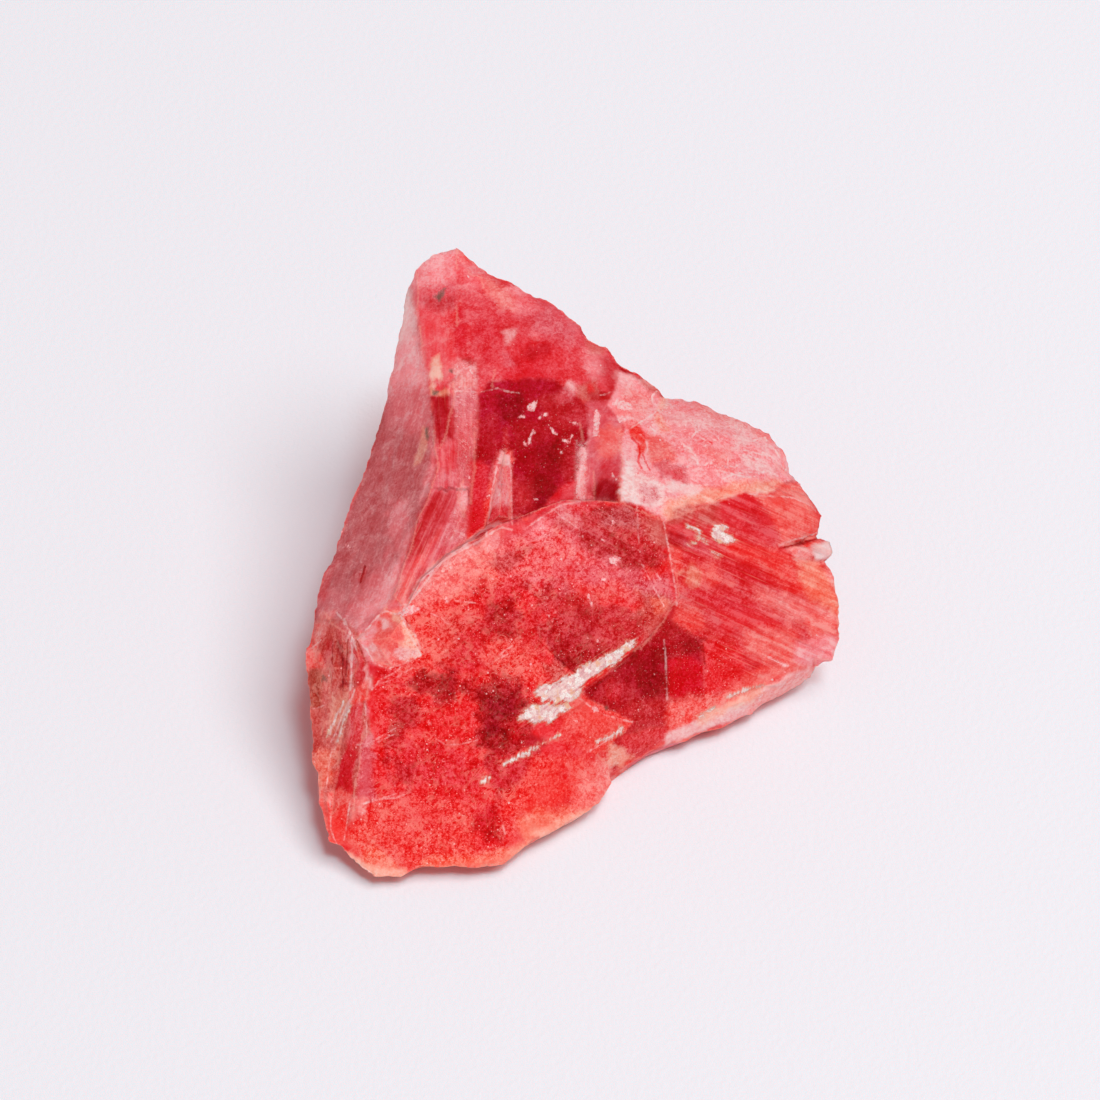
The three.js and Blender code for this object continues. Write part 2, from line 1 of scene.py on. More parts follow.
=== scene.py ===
# Rough rhodonite: the finished stone, its crumbs and its stage.
#
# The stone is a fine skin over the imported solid. Its tones, frost, veins and grain are laid on from
# outlines that were ruled on a sight sheet: a square sheet, 1100 marks a side and 16 marks to the
# millimetre, that stands square to one line of sight through the stone.

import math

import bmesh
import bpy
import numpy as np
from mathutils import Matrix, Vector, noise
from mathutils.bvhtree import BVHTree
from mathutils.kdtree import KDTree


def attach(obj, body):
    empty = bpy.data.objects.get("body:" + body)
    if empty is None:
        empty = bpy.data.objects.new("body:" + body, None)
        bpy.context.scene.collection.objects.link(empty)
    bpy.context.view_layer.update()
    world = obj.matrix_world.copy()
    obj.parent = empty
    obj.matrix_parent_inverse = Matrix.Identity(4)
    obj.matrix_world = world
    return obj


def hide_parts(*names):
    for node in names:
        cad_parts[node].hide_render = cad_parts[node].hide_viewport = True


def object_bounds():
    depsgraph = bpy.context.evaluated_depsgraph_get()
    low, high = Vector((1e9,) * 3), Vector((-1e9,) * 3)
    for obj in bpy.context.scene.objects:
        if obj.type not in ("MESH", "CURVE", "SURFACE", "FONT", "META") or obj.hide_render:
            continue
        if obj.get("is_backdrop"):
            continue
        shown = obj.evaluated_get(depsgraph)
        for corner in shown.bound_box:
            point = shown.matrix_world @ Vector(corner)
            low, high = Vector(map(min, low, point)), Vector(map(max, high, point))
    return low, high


bl_info = {
    "name": "Rough Rhodonite",
    "version": (1, 0, 0),
    "blender": (4, 5, 0),
    "location": "View3D > Sidebar > Rhodonite",
    "description": "Builds a rough rhodonite crystal around its solid, with crumbs and a stage",
    "category": "Add Mesh",
}

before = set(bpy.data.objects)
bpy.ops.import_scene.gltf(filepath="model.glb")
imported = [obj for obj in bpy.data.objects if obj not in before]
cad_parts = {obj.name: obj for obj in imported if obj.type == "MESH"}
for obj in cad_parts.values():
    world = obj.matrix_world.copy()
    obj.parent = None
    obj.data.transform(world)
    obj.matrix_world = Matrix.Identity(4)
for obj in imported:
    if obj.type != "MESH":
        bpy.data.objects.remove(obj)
solid_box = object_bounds()

NODE = "rhodonite"
MM = 0.001                  # metres in a millimetre

# ---------------------------------------------------------------- the sight sheet

SHEET_SIDE = 1100           # marks along a side
SHEET_SCALE = 16.0          # marks to the millimetre
SHEET_FOCUS = 4640.0        # marks, distance of the eye from the sheet
SIGHT_TILT = math.radians(48)
SIGHT_REACH = SHEET_FOCUS / SHEET_SCALE  # mm from the eye to the middle of the sheet
SIGHT_AIM = np.array((-1.56, -4.69, 16.0))
SIGHT_AHEAD = np.array((0.0, math.cos(SIGHT_TILT), -math.sin(SIGHT_TILT)))
SIGHT_UP = np.array((0.0, math.sin(SIGHT_TILT), math.cos(SIGHT_TILT)))
SIGHT_EYE = SIGHT_AIM - SIGHT_AHEAD * SIGHT_REACH


def on_sheet(points):
    """Marks across and down the sheet at which points (mm) are seen."""
    ray = points - SIGHT_EYE
    scale = SHEET_FOCUS / (ray @ SIGHT_AHEAD)
    middle = SHEET_SIDE / 2
    return np.stack((middle + ray[:, 0] * scale, middle - (ray @ SIGHT_UP) * scale), axis=1)


def rows(text):
    """Rows of a table: words and numbers, then an outline or a line as 'across,down across,down'.

    A row that starts with a space runs on from the one above. A slash starts another outline with
    the same words and numbers.
    """
    for row in text.strip().replace("\n ", " ").split("\n"):
        if row.startswith("#"):
            continue
        paths = [path.split() for path in row.split("/")]
        head = [cell if cell.isalpha() else float(cell) for cell in paths[0] if "," not in cell]
        for path in paths:
            yield *head, np.array([pair.split(",") for pair in path if "," in pair], float)


# ---------------------------------------------------------------- tones of the stone

TONES = {
    "abyss": (150, 2, 18),
    "window": (174, 5, 21),
    "claret": (186, 8, 34),
    "garnet": (193, 28, 40),
    "wine": (208, 50, 58),
    "crimson": (225, 42, 56),
    "fire": (217, 8, 28),
    "ember": (236, 50, 56),
    "red": (228, 66, 72),
    "flame": (244, 76, 70),
    "brick": (214, 98, 92),
    # a dusty rose darkened with painted shade, the base tone of the shaded left cleavage
    "dusk": (201, 97, 101),
    "rust": (194, 84, 70),
    "mauve": (234, 122, 128),
    "bloom": (252, 132, 138),
    "cherry": (232, 80, 89),
    "rose": (228, 104, 114),
    "coral": (244, 98, 92),
    "blossom": (245, 92, 100),
    "salmon": (248, 122, 116),
    "apricot": (249, 142, 122),
    "shell": (249, 150, 146),
    "petal": (250, 160, 164),
    "blush": (245, 190, 190),
    "chalk": (247, 210, 208),
    "peach": (252, 178, 160),
    "tan": (236, 158, 136),
    "moss": (112, 84, 72),
}

# Panes of tone: tone, strength, width of the soft edge, raggedness of the edge, outline.
# left cleavage: its darker base tone is partly the stone's dusty rose, partly painted shade
# lighter pane over a crack in the flank: painted light that lifts the crack's shade
# painted shadow below the stain on the peak
PANES = tuple(rows("""
# left cleavage
dusk 1 3 2 409,266 400,292 396,322 390,350 386,385 385,406 376,438 362,478 345,525 330,560 317,600
 314,622 318,640 345,640 358,632 381,612 392,600 399,575 408,548 420,518 430,488 438,458 434,430
 430,400 424,365 417,320 413,290
mauve .8 14 6 398,340 386,385 384,410 400,425 428,440 430,400 424,365
petal .9 12 4 404,290 388,350 390,385 426,388 424,365 416,310
chalk .7 10 3 412,262 396,290 390,330 398,345 414,330 417,300
mauve .8 6 5 393,503 409,498 408,520 400,538 388,534 386,515
mauve .7 9 6 400,535 382,560 366,580 346,604 338,625 354,630 372,606 392,580
petal .9 9 4 408,530 396,560 384,585 362,608 350,627 358,632 381,612 392,600 399,575 408,548 414,535
bloom .7 3 2 428,440 437,448 438,462 430,482 419,504 424,482 431,462
mauve .4 6 4 322,594 345,590 352,615 330,622 314,615
wine .5 3 2 333,556 339,560 330,580 324,599 320,594 328,575
wine .5 2 1 364,566 368,568 361,584 358,583
tan .6 2 2 422,425 428,432 427,448 420,462 413,467 415,455 420,444
# striated strip beside the arris
rose 1 3 3 428,488 470,488 468,540 440,560 425,590 405,603 392,602 400,572 410,545 420,518
salmon .8 8 4 440,530 425,560 408,603 392,602 404,575 420,552
wine .8 4 4 428,491 455,491 445,515 436,533 424,552 408,562 407,552 420,518
wine .6 3 3 429,492 446,493 440,508 428,528 418,540 414,537 421,515
# peak, left facet
blossom .9 3 1 409,268 420,258 432,257 445,246 455,247 458,262 458,330 456,400 433,402 426,365
 418,320 413,290
rose .6 5 2 411,284 456,282 456,306 413,308
petal 1 7 3 409,268 420,256 445,244 458,248 456,275 440,284 420,288 411,284
wine .6 4 3 424,300 446,297 457,294 457,308 445,312 428,310
ember .5 5 2 448,310 458,312 458,350 452,362 447,340
peach .85 2 3 433,357 438,355 442,372 440,380 436,378 434,387 428,388 431,370
tan .9 1.5 2 429,386 437,391 446,389 453,397 447,402 438,396 430,394
# dark strip and frosted band below the peak
garnet 1 2 2 431,397 452,395 457,430 457,452 438,450
wine .8 2 3 446,400 457,400 458,430 452,436 446,420
cherry 1 4 3 436,444 458,438 459,490 430,490 437,468
rose .7 5 3 434,474 458,470 459,490 430,490
rose 1 3 4 454,364 478,366 478,392 476,440 472,480 470,520 466,542 440,547 448,520 458,490 457,450
 452,400
shell .7 5 6 454,366 477,368 477,390 454,392
cherry .8 4 5 458,416 475,416 473,452 458,455
petal .7 4 5 459,486 471,486 469,510 457,512
cherry .7 4 3 460,512 470,510 467,530 456,532
# peak, rear slope
cherry 1 3 2 458,262 475,268 490,275 515,283 540,297 565,310 580,330 588,340 590,395 560,381 505,379
 478,392 478,362 458,356
bloom .8 8 4 456,258 478,262 492,276 488,292 462,290
rose .7 10 6 515,305 545,308 572,322 582,345 560,346 530,332
rose .6 8 4 525,290 556,304 576,326 584,345 560,330 535,312
bloom .7 8 4 505,290 530,292 542,308 515,314
shell .9 7 5 480,276 498,281 514,300 516,308 500,303 486,292
petal .9 5 4 509,283 522,284 532,290 520,297 512,293
crimson .8 9 7 476,322 502,318 512,335 500,346 480,345 472,335
crimson 1 3 3 457,304 464,306 464,318 457,318
crimson 1 3 4 457,324 466,324 468,345 460,350 457,340
crimson .9 8 8 516,342 545,336 556,350 548,364 525,374 508,380 506,362
garnet .5 6 7 520,348 548,345 545,358 530,358 518,364
crimson .8 3 3 480,347 491,345 490,361 481,361
crimson .8 4 3 500,374 525,368 555,374 566,369 562,380 540,378 508,384
blush .8 4 4 501,331 508,327 516,331 514,341 510,347 505,341
petal .6 4 3 530,331 537,330 538,338 531,338
rose .8 4 4 503,354 512,356 514,367 504,364
petal .6 2 4 460,360 474,364 476,380 466,378 458,372
cherry 1 2 1 587,340 605,345 616,358 620,372 623,396 605,396 590,396 586,370
petal .6 6 2 582,350 598,352 602,370 592,378 583,370
wine .8 5 3 604,348 619,366 623,397 608,395 604,372
brick .7 4 3 587,341 606,346 608,354 590,354
brick .9 3 3 576,384 596,381 602,394 594,408 584,404 574,396
ember .8 2 1 586,384 593,382 595,392 588,394
# bowl
claret 1 2 3 478,392 490,382 520,380 560,380 578,395 590,408 590,440 578,480 562,492 545,507 520,521
 511,523 511,452 497,452 489,480 482,500 470,532 470,500 474,460 478,430
garnet .6 4 6 478,418 496,416 502,452 490,462 476,458
garnet .6 5 6 512,424 545,420 560,436 535,446 514,450
cherry .5 8 6 510,478 534,486 532,504 514,516
wine .6 5 6 534,402 560,392 592,398 590,428 562,432 545,414
rose .7 4 4 552,400 560,388 572,384 580,392 570,402 558,406
garnet .8 4 5 584,390 604,390 618,400 618,411 600,413 586,408
blush .6 3 3 562,384 570,378 578,388 574,394
abyss .9 5 5 536,446 558,440 562,470 556,492 546,504 536,510 534,494 536,474
abyss .7 5 4 496,396 522,392 524,416 502,424
wine .5 3 5 562,434 577,434 578,478 564,490 560,470
window .5 7 7 516,440 556,434 574,446 566,476 548,496 530,496 518,470
petal .85 2 4 578,444 587,446 587,470 584,501 574,500 578,472
rose .8 2 2 587,440 594,438 592,502 585,502
rose .8 3 3 586,402 612,400 630,412 630,430 606,434 590,438
crimson 1 3 5 472,462 491,464 488,500 482,532 466,536 469,500
wine .8 2 3 504,430 509,427 511,452 502,450
cherry 1 1.2 .5 497,462 501,450 510,455 511,475 513,523 500,526 485,537 490,500
petal .8 3 2 496,466 511,466 512,504 491,508
blush 1 1.5 1 498,462 501,450 510,455 511,467 497,464
crimson 1 1.5 1 529,519 545,506 562,484 577,480 580,500 560,505 540,514
cherry .8 2 2 563,486 576,482 576,498 562,500
rose 1 3 3 592,440 605,433 623,436 623,470 616,501 591,501
salmon .8 5 5 598,430 610,424 624,428 624,448 610,460 596,462
crimson .7 5 4 600,458 620,456 620,480 598,484
garnet 1 4 4 592,490 602,480 614,480 621,488 619,501 592,501
window .6 3 4 596,490 606,480 616,488 616,500 598,500
# upper right
petal 1 2 2 621,372 640,379 659,385 661,397 690,400 740,418 776,440 789,460 800,482 786,482 775,492
 752,495 745,492 730,498 718,503 700,505 684,514 665,524 640,506 622,500 622,440 625,425 608,405
blush .7 6 5 618,376 630,376 636,388 626,392
salmon .5 4 4 620,388 640,388 652,398 652,412 640,424 624,426 616,408
brick .8 3 2 634,377 648,381 661,387 660,395 650,392 642,384
peach .7 3 2 660,397 668,396 668,408 658,412
blush .7 2 3 662,399 690,400 700,408 680,408 664,406
bloom .9 6 4 672,402 690,401 700,408 696,414 676,412
coral .5 4 3 692,402 740,418 776,440 770,442 730,423 700,411
blush .5 8 5 664,412 690,414 720,420 752,430 744,436 712,428 680,426 666,422
bloom .8 8 6 672,430 700,432 730,430 760,444 764,462 736,474 705,470 684,460
salmon .6 6 6 708,448 728,448 730,470 712,466
blush .7 5 8 734,432 748,434 750,442 738,446
coral .9 4 4 645,432 658,434 674,450 675,462 658,464 650,460 646,446
flame 1 2 2 629,428 637,421 642,430 647,438 646,448 640,457 636,451 640,444 630,436
petal .9 4 6 638,420 652,416 664,420 664,432 650,432
apricot .8 3 3 652,418 658,410 663,420 668,430 660,428
blush .7 3 6 686,448 692,450 698,464 692,462
blush .8 4 6 744,456 760,458 776,470 778,478 760,474 748,466
peach .9 5 4 664,500 690,494 730,484 775,480 784,484 775,492 752,495 745,492 730,498 718,503 700,505
 684,514 670,524 662,512
apricot .7 5 4 700,490 745,480 770,484 745,490 718,498
tan .5 4 5 662,510 684,506 678,518 668,524
rose .9 2 5 656,463 686,465 687,484 674,481 660,478
crimson .9 1.5 5 666,470 681,470 685,483 676,480
crimson .6 1.5 5 658,464 668,465 668,474 662,474
chalk .8 3 6 624,460 632,458 640,472 654,477 664,486 663,502 648,508 632,506 621,500
chalk .9 3 6 624,464 634,464 638,480 636,500 624,498
rose .8 4 6 640,486 652,484 657,496 650,506 642,504
chalk .8 2 4 664,478 676,482 702,489 692,494 668,494
petal .8 3 4 624,440 634,446 640,462 632,464 624,456
# striated flank
red 1 2 1.5 665,522 684,514 700,505 718,503 730,498 745,492 765,497 785,484 800,481 812,500 820,520
 818,534 799,545 806,560 830,580 839,600 839,655 815,666 780,672 740,690 705,702 668,702 668,640
 676,600 668,560
brick .7 4 6 688,508 716,505 720,522 700,526 686,522
crimson .45 3 3 722,502 745,492 754,495 764,508 772,526 780,542 758,540 736,528 714,516
garnet .3 5 4 740,510 752,512 768,534 752,530
coral 1 4 2 756,497 772,494 785,484 800,481 812,500 820,520 818,532 786,543 774,522
coral .6 5 4 768,502 800,510 816,524 796,534 780,520
salmon .8 3 3 770,486 796,484 812,500 806,502 790,496
salmon .7 3 3 784,530 806,524 818,526 816,538 796,544 780,544
garnet .8 3 5 668,533 683,531 688,545 672,549
rose .6 6 5 684,538 704,542 706,552 688,552
flame .8 7 4 724,536 764,546 797,556 808,592 785,594 755,566 724,552
fire .6 9 6 724,562 762,566 790,588 762,590 726,574
coral .8 7 6 684,566 714,566 732,584 706,586 682,584
crimson .7 6 4 686,588 730,594 768,612 742,618 708,606
shell .8 7 5 752,586 800,600 838,612 838,628 800,620 764,608
ember .7 7 5 720,612 765,614 796,632 760,632 724,628
salmon .9 9 4 745,632 798,630 798,668 770,662 740,652
coral .9 4 4 722,684 745,672 780,660 800,662 812,668 780,678 744,696 722,700
salmon .9 4 4 750,680 774,668 800,662 812,666 786,678 756,690
shell .9 3 3 824,562 834,570 840,590 836,592 826,578
coral .8 3 3 666,545 680,548 684,572 674,578 667,566
brick .8 3 3 678,506 696,506 694,520 680,524 668,524
ember .7 6 4 712,640 745,642 745,672 712,668
coral .9 5 4 677,598 698,610 706,630 690,632 672,622
apricot .9 5 3 797,558 812,556 830,580 840,600 840,616 812,600 800,580
salmon .9 5 3 806,616 840,618 840,646 810,640
petal .9 5 3 797,640 840,636 840,660 815,668 795,662
shell 1 2 2 782,543 812,546 814,562 798,562
garnet .7 1.5 1 780,547 800,541 818,537 818,540 800,545 786,549
chalk .9 2 1 811,545 830,540 837,548 832,559 815,560
tan .6 3 6 676,572 690,566 702,574 698,584 682,580
# dark window under the flank
garnet 1 3 3 668,618 700,640 703,690 668,703 640,706 600,716 579,692 600,676 620,660 640,645
window 1 5 7 618,662 650,641 668,640 668,690 640,696 620,682
abyss .4 6 8 634,664 664,650 662,696 644,696
window .6 4 4 582,688 600,680 606,694 592,698
crimson .6 6 7 606,684 626,686 620,704 604,700
fire .95 3 3 669,660 704,652 706,702 669,702
window .8 4 5 676,636 703,640 705,664 688,656
ember .9 4 4 704,644 744,646 742,684 706,700
wine 1 5 5 628,702 668,700 668,730 640,738 616,732
salmon .9 5 5 668,703 706,696 740,684 728,706 700,716 670,737
red 1 2 2 621,736 667,726 664,741 632,761 622,750
salmon 1 2 3 586,699 606,707 633,722 624,734 604,722
# lower right band
blush .85 2 2 668,734 705,716 745,698 790,674 812,665 816,680 790,702 740,718 700,731 664,747
shell .8 5 5 745,702 790,678 812,668 815,681 790,702 748,716
peach .8 3 4 696,716 730,702 760,688 766,694 735,708 700,724
# front slope
ember 1 2 2 400,612 420,595 445,562 480,543 500,531 540,517 560,504 600,501 640,505 665,520 668,560
 676,600 665,618 640,645 620,660 600,676 580,692 605,712 632,722 610,745 613,790 600,807 560,823
 520,846 500,861 460,867 420,869 392,880 360,871 336,846 345,830 370,800 372,740 366,700 376,670
 390,668 420,650 412,628
salmon .9 8 8 396,614 420,592 443,561 500,531 515,560 500,590 440,606
shell .8 6 5 398,612 420,592 443,561 480,543 497,533 497,545 460,566 434,590
rose .9 10 8 500,540 560,506 600,503 640,560 664,600 600,600 540,592 500,575
salmon .5 8 10 500,548 560,530 590,560 560,570 520,580 496,574
bloom .3 12 10 490,550 540,520 590,544 630,566 620,596 560,600 500,596
petal .8 4 5 531,530 545,520 553,530 543,540 530,539
mauve .8 4 4 552,512 560,506 584,524 580,532 566,526
wine .8 4 6 556,520 575,530 600,503 640,506 655,520 664,548 664,566 640,564 604,552 580,536
garnet .65 5 7 580,530 604,532 640,548 664,558 662,572 620,566 584,546
dusk .7 6 6 590,506 636,508 640,530 606,528
brick .8 5 5 640,508 664,520 667,545 650,540
garnet .5 4 6 486,560 530,546 524,562 496,574
rose .7 6 8 620,575 668,575 676,600 655,604 625,596
brick .8 6 6 640,592 656,594 674,604 664,620 644,640 638,620
apricot .6 3 5 652,600 668,602 664,614 654,612
coral .8 12 10 396,620 440,604 476,612 466,650 430,668 400,668
crimson .7 8 12 470,586 520,578 530,600 500,612 474,606
garnet .7 6 12 484,610 516,606 520,636 500,644 486,630
garnet .6 8 12 530,586 580,590 600,606 560,620 540,612
coral .6 8 8 570,580 620,584 640,600 604,604 576,596
wine .9 2.5 3 536,628 560,612 600,604 625,606 650,622 636,645 600,664 576,674 556,660
garnet .9 5 9 536,634 560,640 584,634 606,646 600,660 578,674 560,664
garnet .6 6 9 576,610 600,612 596,632 572,628
window .6 3 6 556,656 570,656 580,668 574,674
garnet .3 12 12 440,622 476,606 548,620 548,660 500,676 446,664
crimson .8 6 12 458,634 478,634 480,668 466,680 458,664
coral .8 6 8 484,640 520,640 548,664 540,684 510,678 486,664
brick .7 4 4 540,662 558,664 572,676 552,684
window .7 5 9 408,684 424,672 452,670 458,682 452,702 438,704 422,694
window .6 4 9 440,676 452,674 450,692 438,690
window .8 9 12 462,688 500,676 526,690 536,704 524,720 538,742 524,752 504,758 478,748 472,728
 474,706
window .9 8 12 478,694 520,690 524,706 508,716 512,740 490,744 478,722
abyss .7 7 12 484,702 510,698 508,736 490,736
fire .7 5 8 506,722 524,724 522,740 508,742
garnet .75 6 10 386,704 414,698 420,714 404,732 396,754 388,742
ember .7 8 10 424,712 462,704 470,738 440,742 426,730
crimson .7 7 12 394,742 424,744 452,758 480,764 478,800 446,790 400,782
garnet .5 6 12 390,760 414,764 410,786 394,786
garnet .85 6 9 488,756 530,750 530,790 500,796
crimson .75 6 9 496,758 530,752 532,776 512,800 496,790
garnet .5 5 9 510,780 524,776 520,796 510,798
coral .7 10 8 372,795 400,800 470,806 474,850 440,866 392,868 350,860 350,830
ember .6 8 10 404,808 450,806 450,832 410,834
window .5 6 6 478,816 496,808 500,838 486,838
fire .8 4 6 474,812 494,806 500,820 502,842 486,842 474,826
ember .7 6 8 466,790 480,790 478,812 468,812
salmon .35 9 10 504,800 560,800 556,828 520,846 504,856
coral .8 8 8 440,846 500,852 496,866 420,870 390,860
coral 1 4 3 566,708 580,692 605,712 632,722 611,744 596,756 560,740
ember .5 8 6 548,732 576,728 590,744 576,760 552,756
flame .9 6 5 535,760 590,756 592,790 540,812 504,816 506,796
ember .7 5 8 560,764 574,770 570,786 558,780
apricot .8 6 6 518,818 560,808 598,800 600,808 560,825 524,848
salmon .9 6 4 580,772 600,756 611,754 614,792 600,806 570,812
shell .7 4 4 596,764 611,758 613,790 602,800
peach .8 3 6 530,834 566,816 590,810 594,814 545,840
apricot .8 5 6 350,838 372,826 378,846 400,862 400,878 372,884
peach .8 3 5 362,866 404,870 404,882 376,884
apricot .8 5 6 420,858 500,852 530,842 530,850 504,864 460,869 420,871
peach .8 3 4 608,742 620,744 634,758 622,770 606,766
# lump and left front side
brick 1 2.5 3 314,622 320,612 345,620 358,632 366,660 376,670 366,700 372,740 370,800 345,830
 338,848 330,830 322,800 312,760 310,700 304,665 312,640
shell .5 3 4 312,636 320,612 336,610 330,630 318,646
mauve .5 4 5 330,612 352,628 354,640 344,640
wine .8 3 4 325,636 334,640 334,668 322,666
window .9 2 4 338,642 344,648 342,668 336,664
window .9 2 4 342,658 349,660 348,696 341,686
crimson .8 3 4 353,646 364,660 370,690 358,692 352,672
petal .6 2 4 349,628 353,634 353,700 350,700
blush .6 1.5 4 365,660 369,668 371,690 366,680
salmon .9 2 3 303,655 316,644 326,668 318,678 306,672
rust 1 3 3 306,672 322,670 322,708 308,708
brick .6 4 7 324,696 348,690 352,700 334,744 318,740
tan .5 4 8 328,700 350,692 344,720 330,738
salmon .9 4 6 350,690 366,684 368,698 352,708
brick .8 5 8 310,708 328,712 328,758 314,760
cherry .9 3 3 350,708 362,704 362,740 356,748 348,744
rose .9 4 4 360,744 372,736 376,800 356,800 357,760
apricot .6 5 8 314,748 338,746 332,790 322,798 316,776
crimson 1 2 2 349,744 357,752 354,775 352,794 333,789 336,772 343,754
fire .8 5 3 344,762 350,764 348,792 338,788
coral 1 2 1.5 328,793 340,789 350,794 350,806 345,838 340,850 332,842 328,820
salmon .9 3 2 328,793 340,789 350,794 349,804 336,806 328,803
flame .8 4 2 330,822 346,818 344,842 336,846
shell .9 4 4 351,798 368,798 366,814 350,822
coral .8 4 5 350,822 370,816 384,836 362,858 344,846
peach .8 3 3 334,846 346,850 372,868 362,874 338,856
coral 1 2 2 357,640 366,630 378,616 386,611 402,616 412,636 421,655 409,661 388,669 374,663 367,650
petal .9 3 3 357,640 366,630 378,618 378,630 368,644 376,660 370,658 364,648
flame .5 5 6 374,634 392,628 402,642 394,654 378,650
shell .7 4 4 368,650 380,648 398,656 396,666 386,668 374,662
blush .9 3 4 378,618 386,616 391,626 384,628
blush .6 2 3 370,640 376,646 374,652 368,648
peach 1 3 4 388,612 404,617 412,636 421,655 408,661 402,648 406,636 396,624
peach .9 3 3 400,640 414,640 421,654 410,660 400,656
blush .9 2 4 394,652 408,644 420,654 408,660 400,658
crimson .9 2 2 368,662 380,668 394,671 384,677 368,676
"""))

# Where the skin is frosted or felted with fine pale fibres: strength, soft edge, outline.
LEFT_FACE = ("409,266 396,322 386,385 385,406 362,478 330,560 317,600 314,625 358,632 392,600"
             " 420,518 438,458 430,400 417,320")
FROST = tuple(rows(f"""
.15 6 {LEFT_FACE}
.5 4 452,358 478,362 476,440 466,542 440,547 458,490
.4 8 396,614 443,563 500,531 505,545 470,590 430,600
.5 8 640,395 740,418 776,440 789,460 745,480 700,488 660,470
1.0 4 622,455 640,462 660,480 668,490 665,506 640,505 624,498
.9 2 576,440 588,442 586,500 574,500
.4 4 668,734 745,701 812,665 816,680 740,718 664,747
.3 3 357,640 385,612 413,629 421,650 390,669
.25 4 322,690 352,690 346,745 322,750
"""))
FELT = tuple(rows("""
1.0 8 400,612 445,566 505,540 560,520 580,536 560,600 600,640 576,690 540,720 520,745 560,760
 530,800 500,856 420,866 366,860 350,830 372,800 374,740 378,674 412,640
.7 8 540,520 560,504 640,505 666,560 672,600 640,644 600,672 560,640 560,560
.35 6 540,700 632,722 613,790 560,823 520,820 560,760
.2 6 621,372 740,418 800,482 745,492 665,521 622,500
.2 6 668,540 730,560 760,600 700,640 670,640
.1 6 740,500 820,520 839,600 839,655 740,690 700,640
.5 6 579,692 668,618 740,640 740,690 632,760
.35 6 304,665 314,622 358,632 372,740 345,840 312,760
.3 4 478,392 560,381 590,408 578,480 520,521 470,532
.2 6 409,268 445,247 515,283 588,340 590,395 478,392
"""))
# Striations: their slant on the sheet (degrees, down to the right), strength, soft edge, outline.
STREAKS = tuple(rows(f"""
108 .35 6 {LEFT_FACE}
114 1.0 3 428,488 470,488 468,540 425,590 405,603 392,602
88 .8 3 431,397 478,362 476,440 472,480 466,542 440,547 436,468
88 .3 4 409,268 455,247 458,330 456,400 433,402
94 .6 2 578,440 594,438 592,502 574,502
-28 .5 10 440,600 470,570 520,540 560,524 560,560 500,590
28 .8 8 560,510 600,503 640,505 666,540 668,572 620,566 570,540
24 1.0 6 665,520 700,495 800,481 820,520 839,600 839,655 740,680 690,640 672,600
104 .8 4 314,622 345,620 372,672 366,745 340,760 322,745
-27 .5 4 668,734 812,665 816,680 664,747
-36 .9 2 515,716 545,682 600,652 642,632 640,650 600,684 580,708 540,728 520,728
"""))

# ---------------------------------------------------------------- veins, flakes, hairs and stains

FINE_KINDS = ("vein", "flake", "hair", "stain", "dark")
# Closed patches: kind, outlines.
PATCHES = tuple(rows("""
vein 534,694 541,686 548,684 560,682 563,677 574,674 583,666 596,660 606,655 618,650 626,642 635,640
 634,648 626,651 618,660 615,665 604,668 598,675 588,679 581,688 578,698 570,703 563,700 556,704
 549,700 543,701 541,697 / 520,716 526,711 532,705 540,706 548,703 556,706 568,703 571,708 562,712
 555,718 550,724 541,721 534,724 527,719 519,720 / 712,531 716,525 723,524 727,527 724,532 731,536
 735,541 728,543 719,543 713,538 / 479,781 484,777 490,777 486,782 481,784
flake 608,558 614,555 622,558 617,565 611,564 / 526,408 529,404 527,401 530,404 537,400 538,404
 534,410 529,411 / 612,404 617,399 632,403 634,411 620,409 / 594,412 597,409 600,414 599,436 593,437
 / 405,606 414,605 420,609 412,614 402,616 396,613 / 426,569 432,567 436,571 428,575 / 616,416
 630,415 635,419 618,422 / 593,705 597,708 594,712 591,708
stain 434,297 440,292 446,287 444,295 440,301 / 604,706 607,705 609,708 606,710 / 323,676 327,677
 326,681 323,681 / 425,428 428,427 428,440 426,440 / 450,369 453,370 452,373 450,372 / 433,391
 438,392 437,395 433,395
"""))
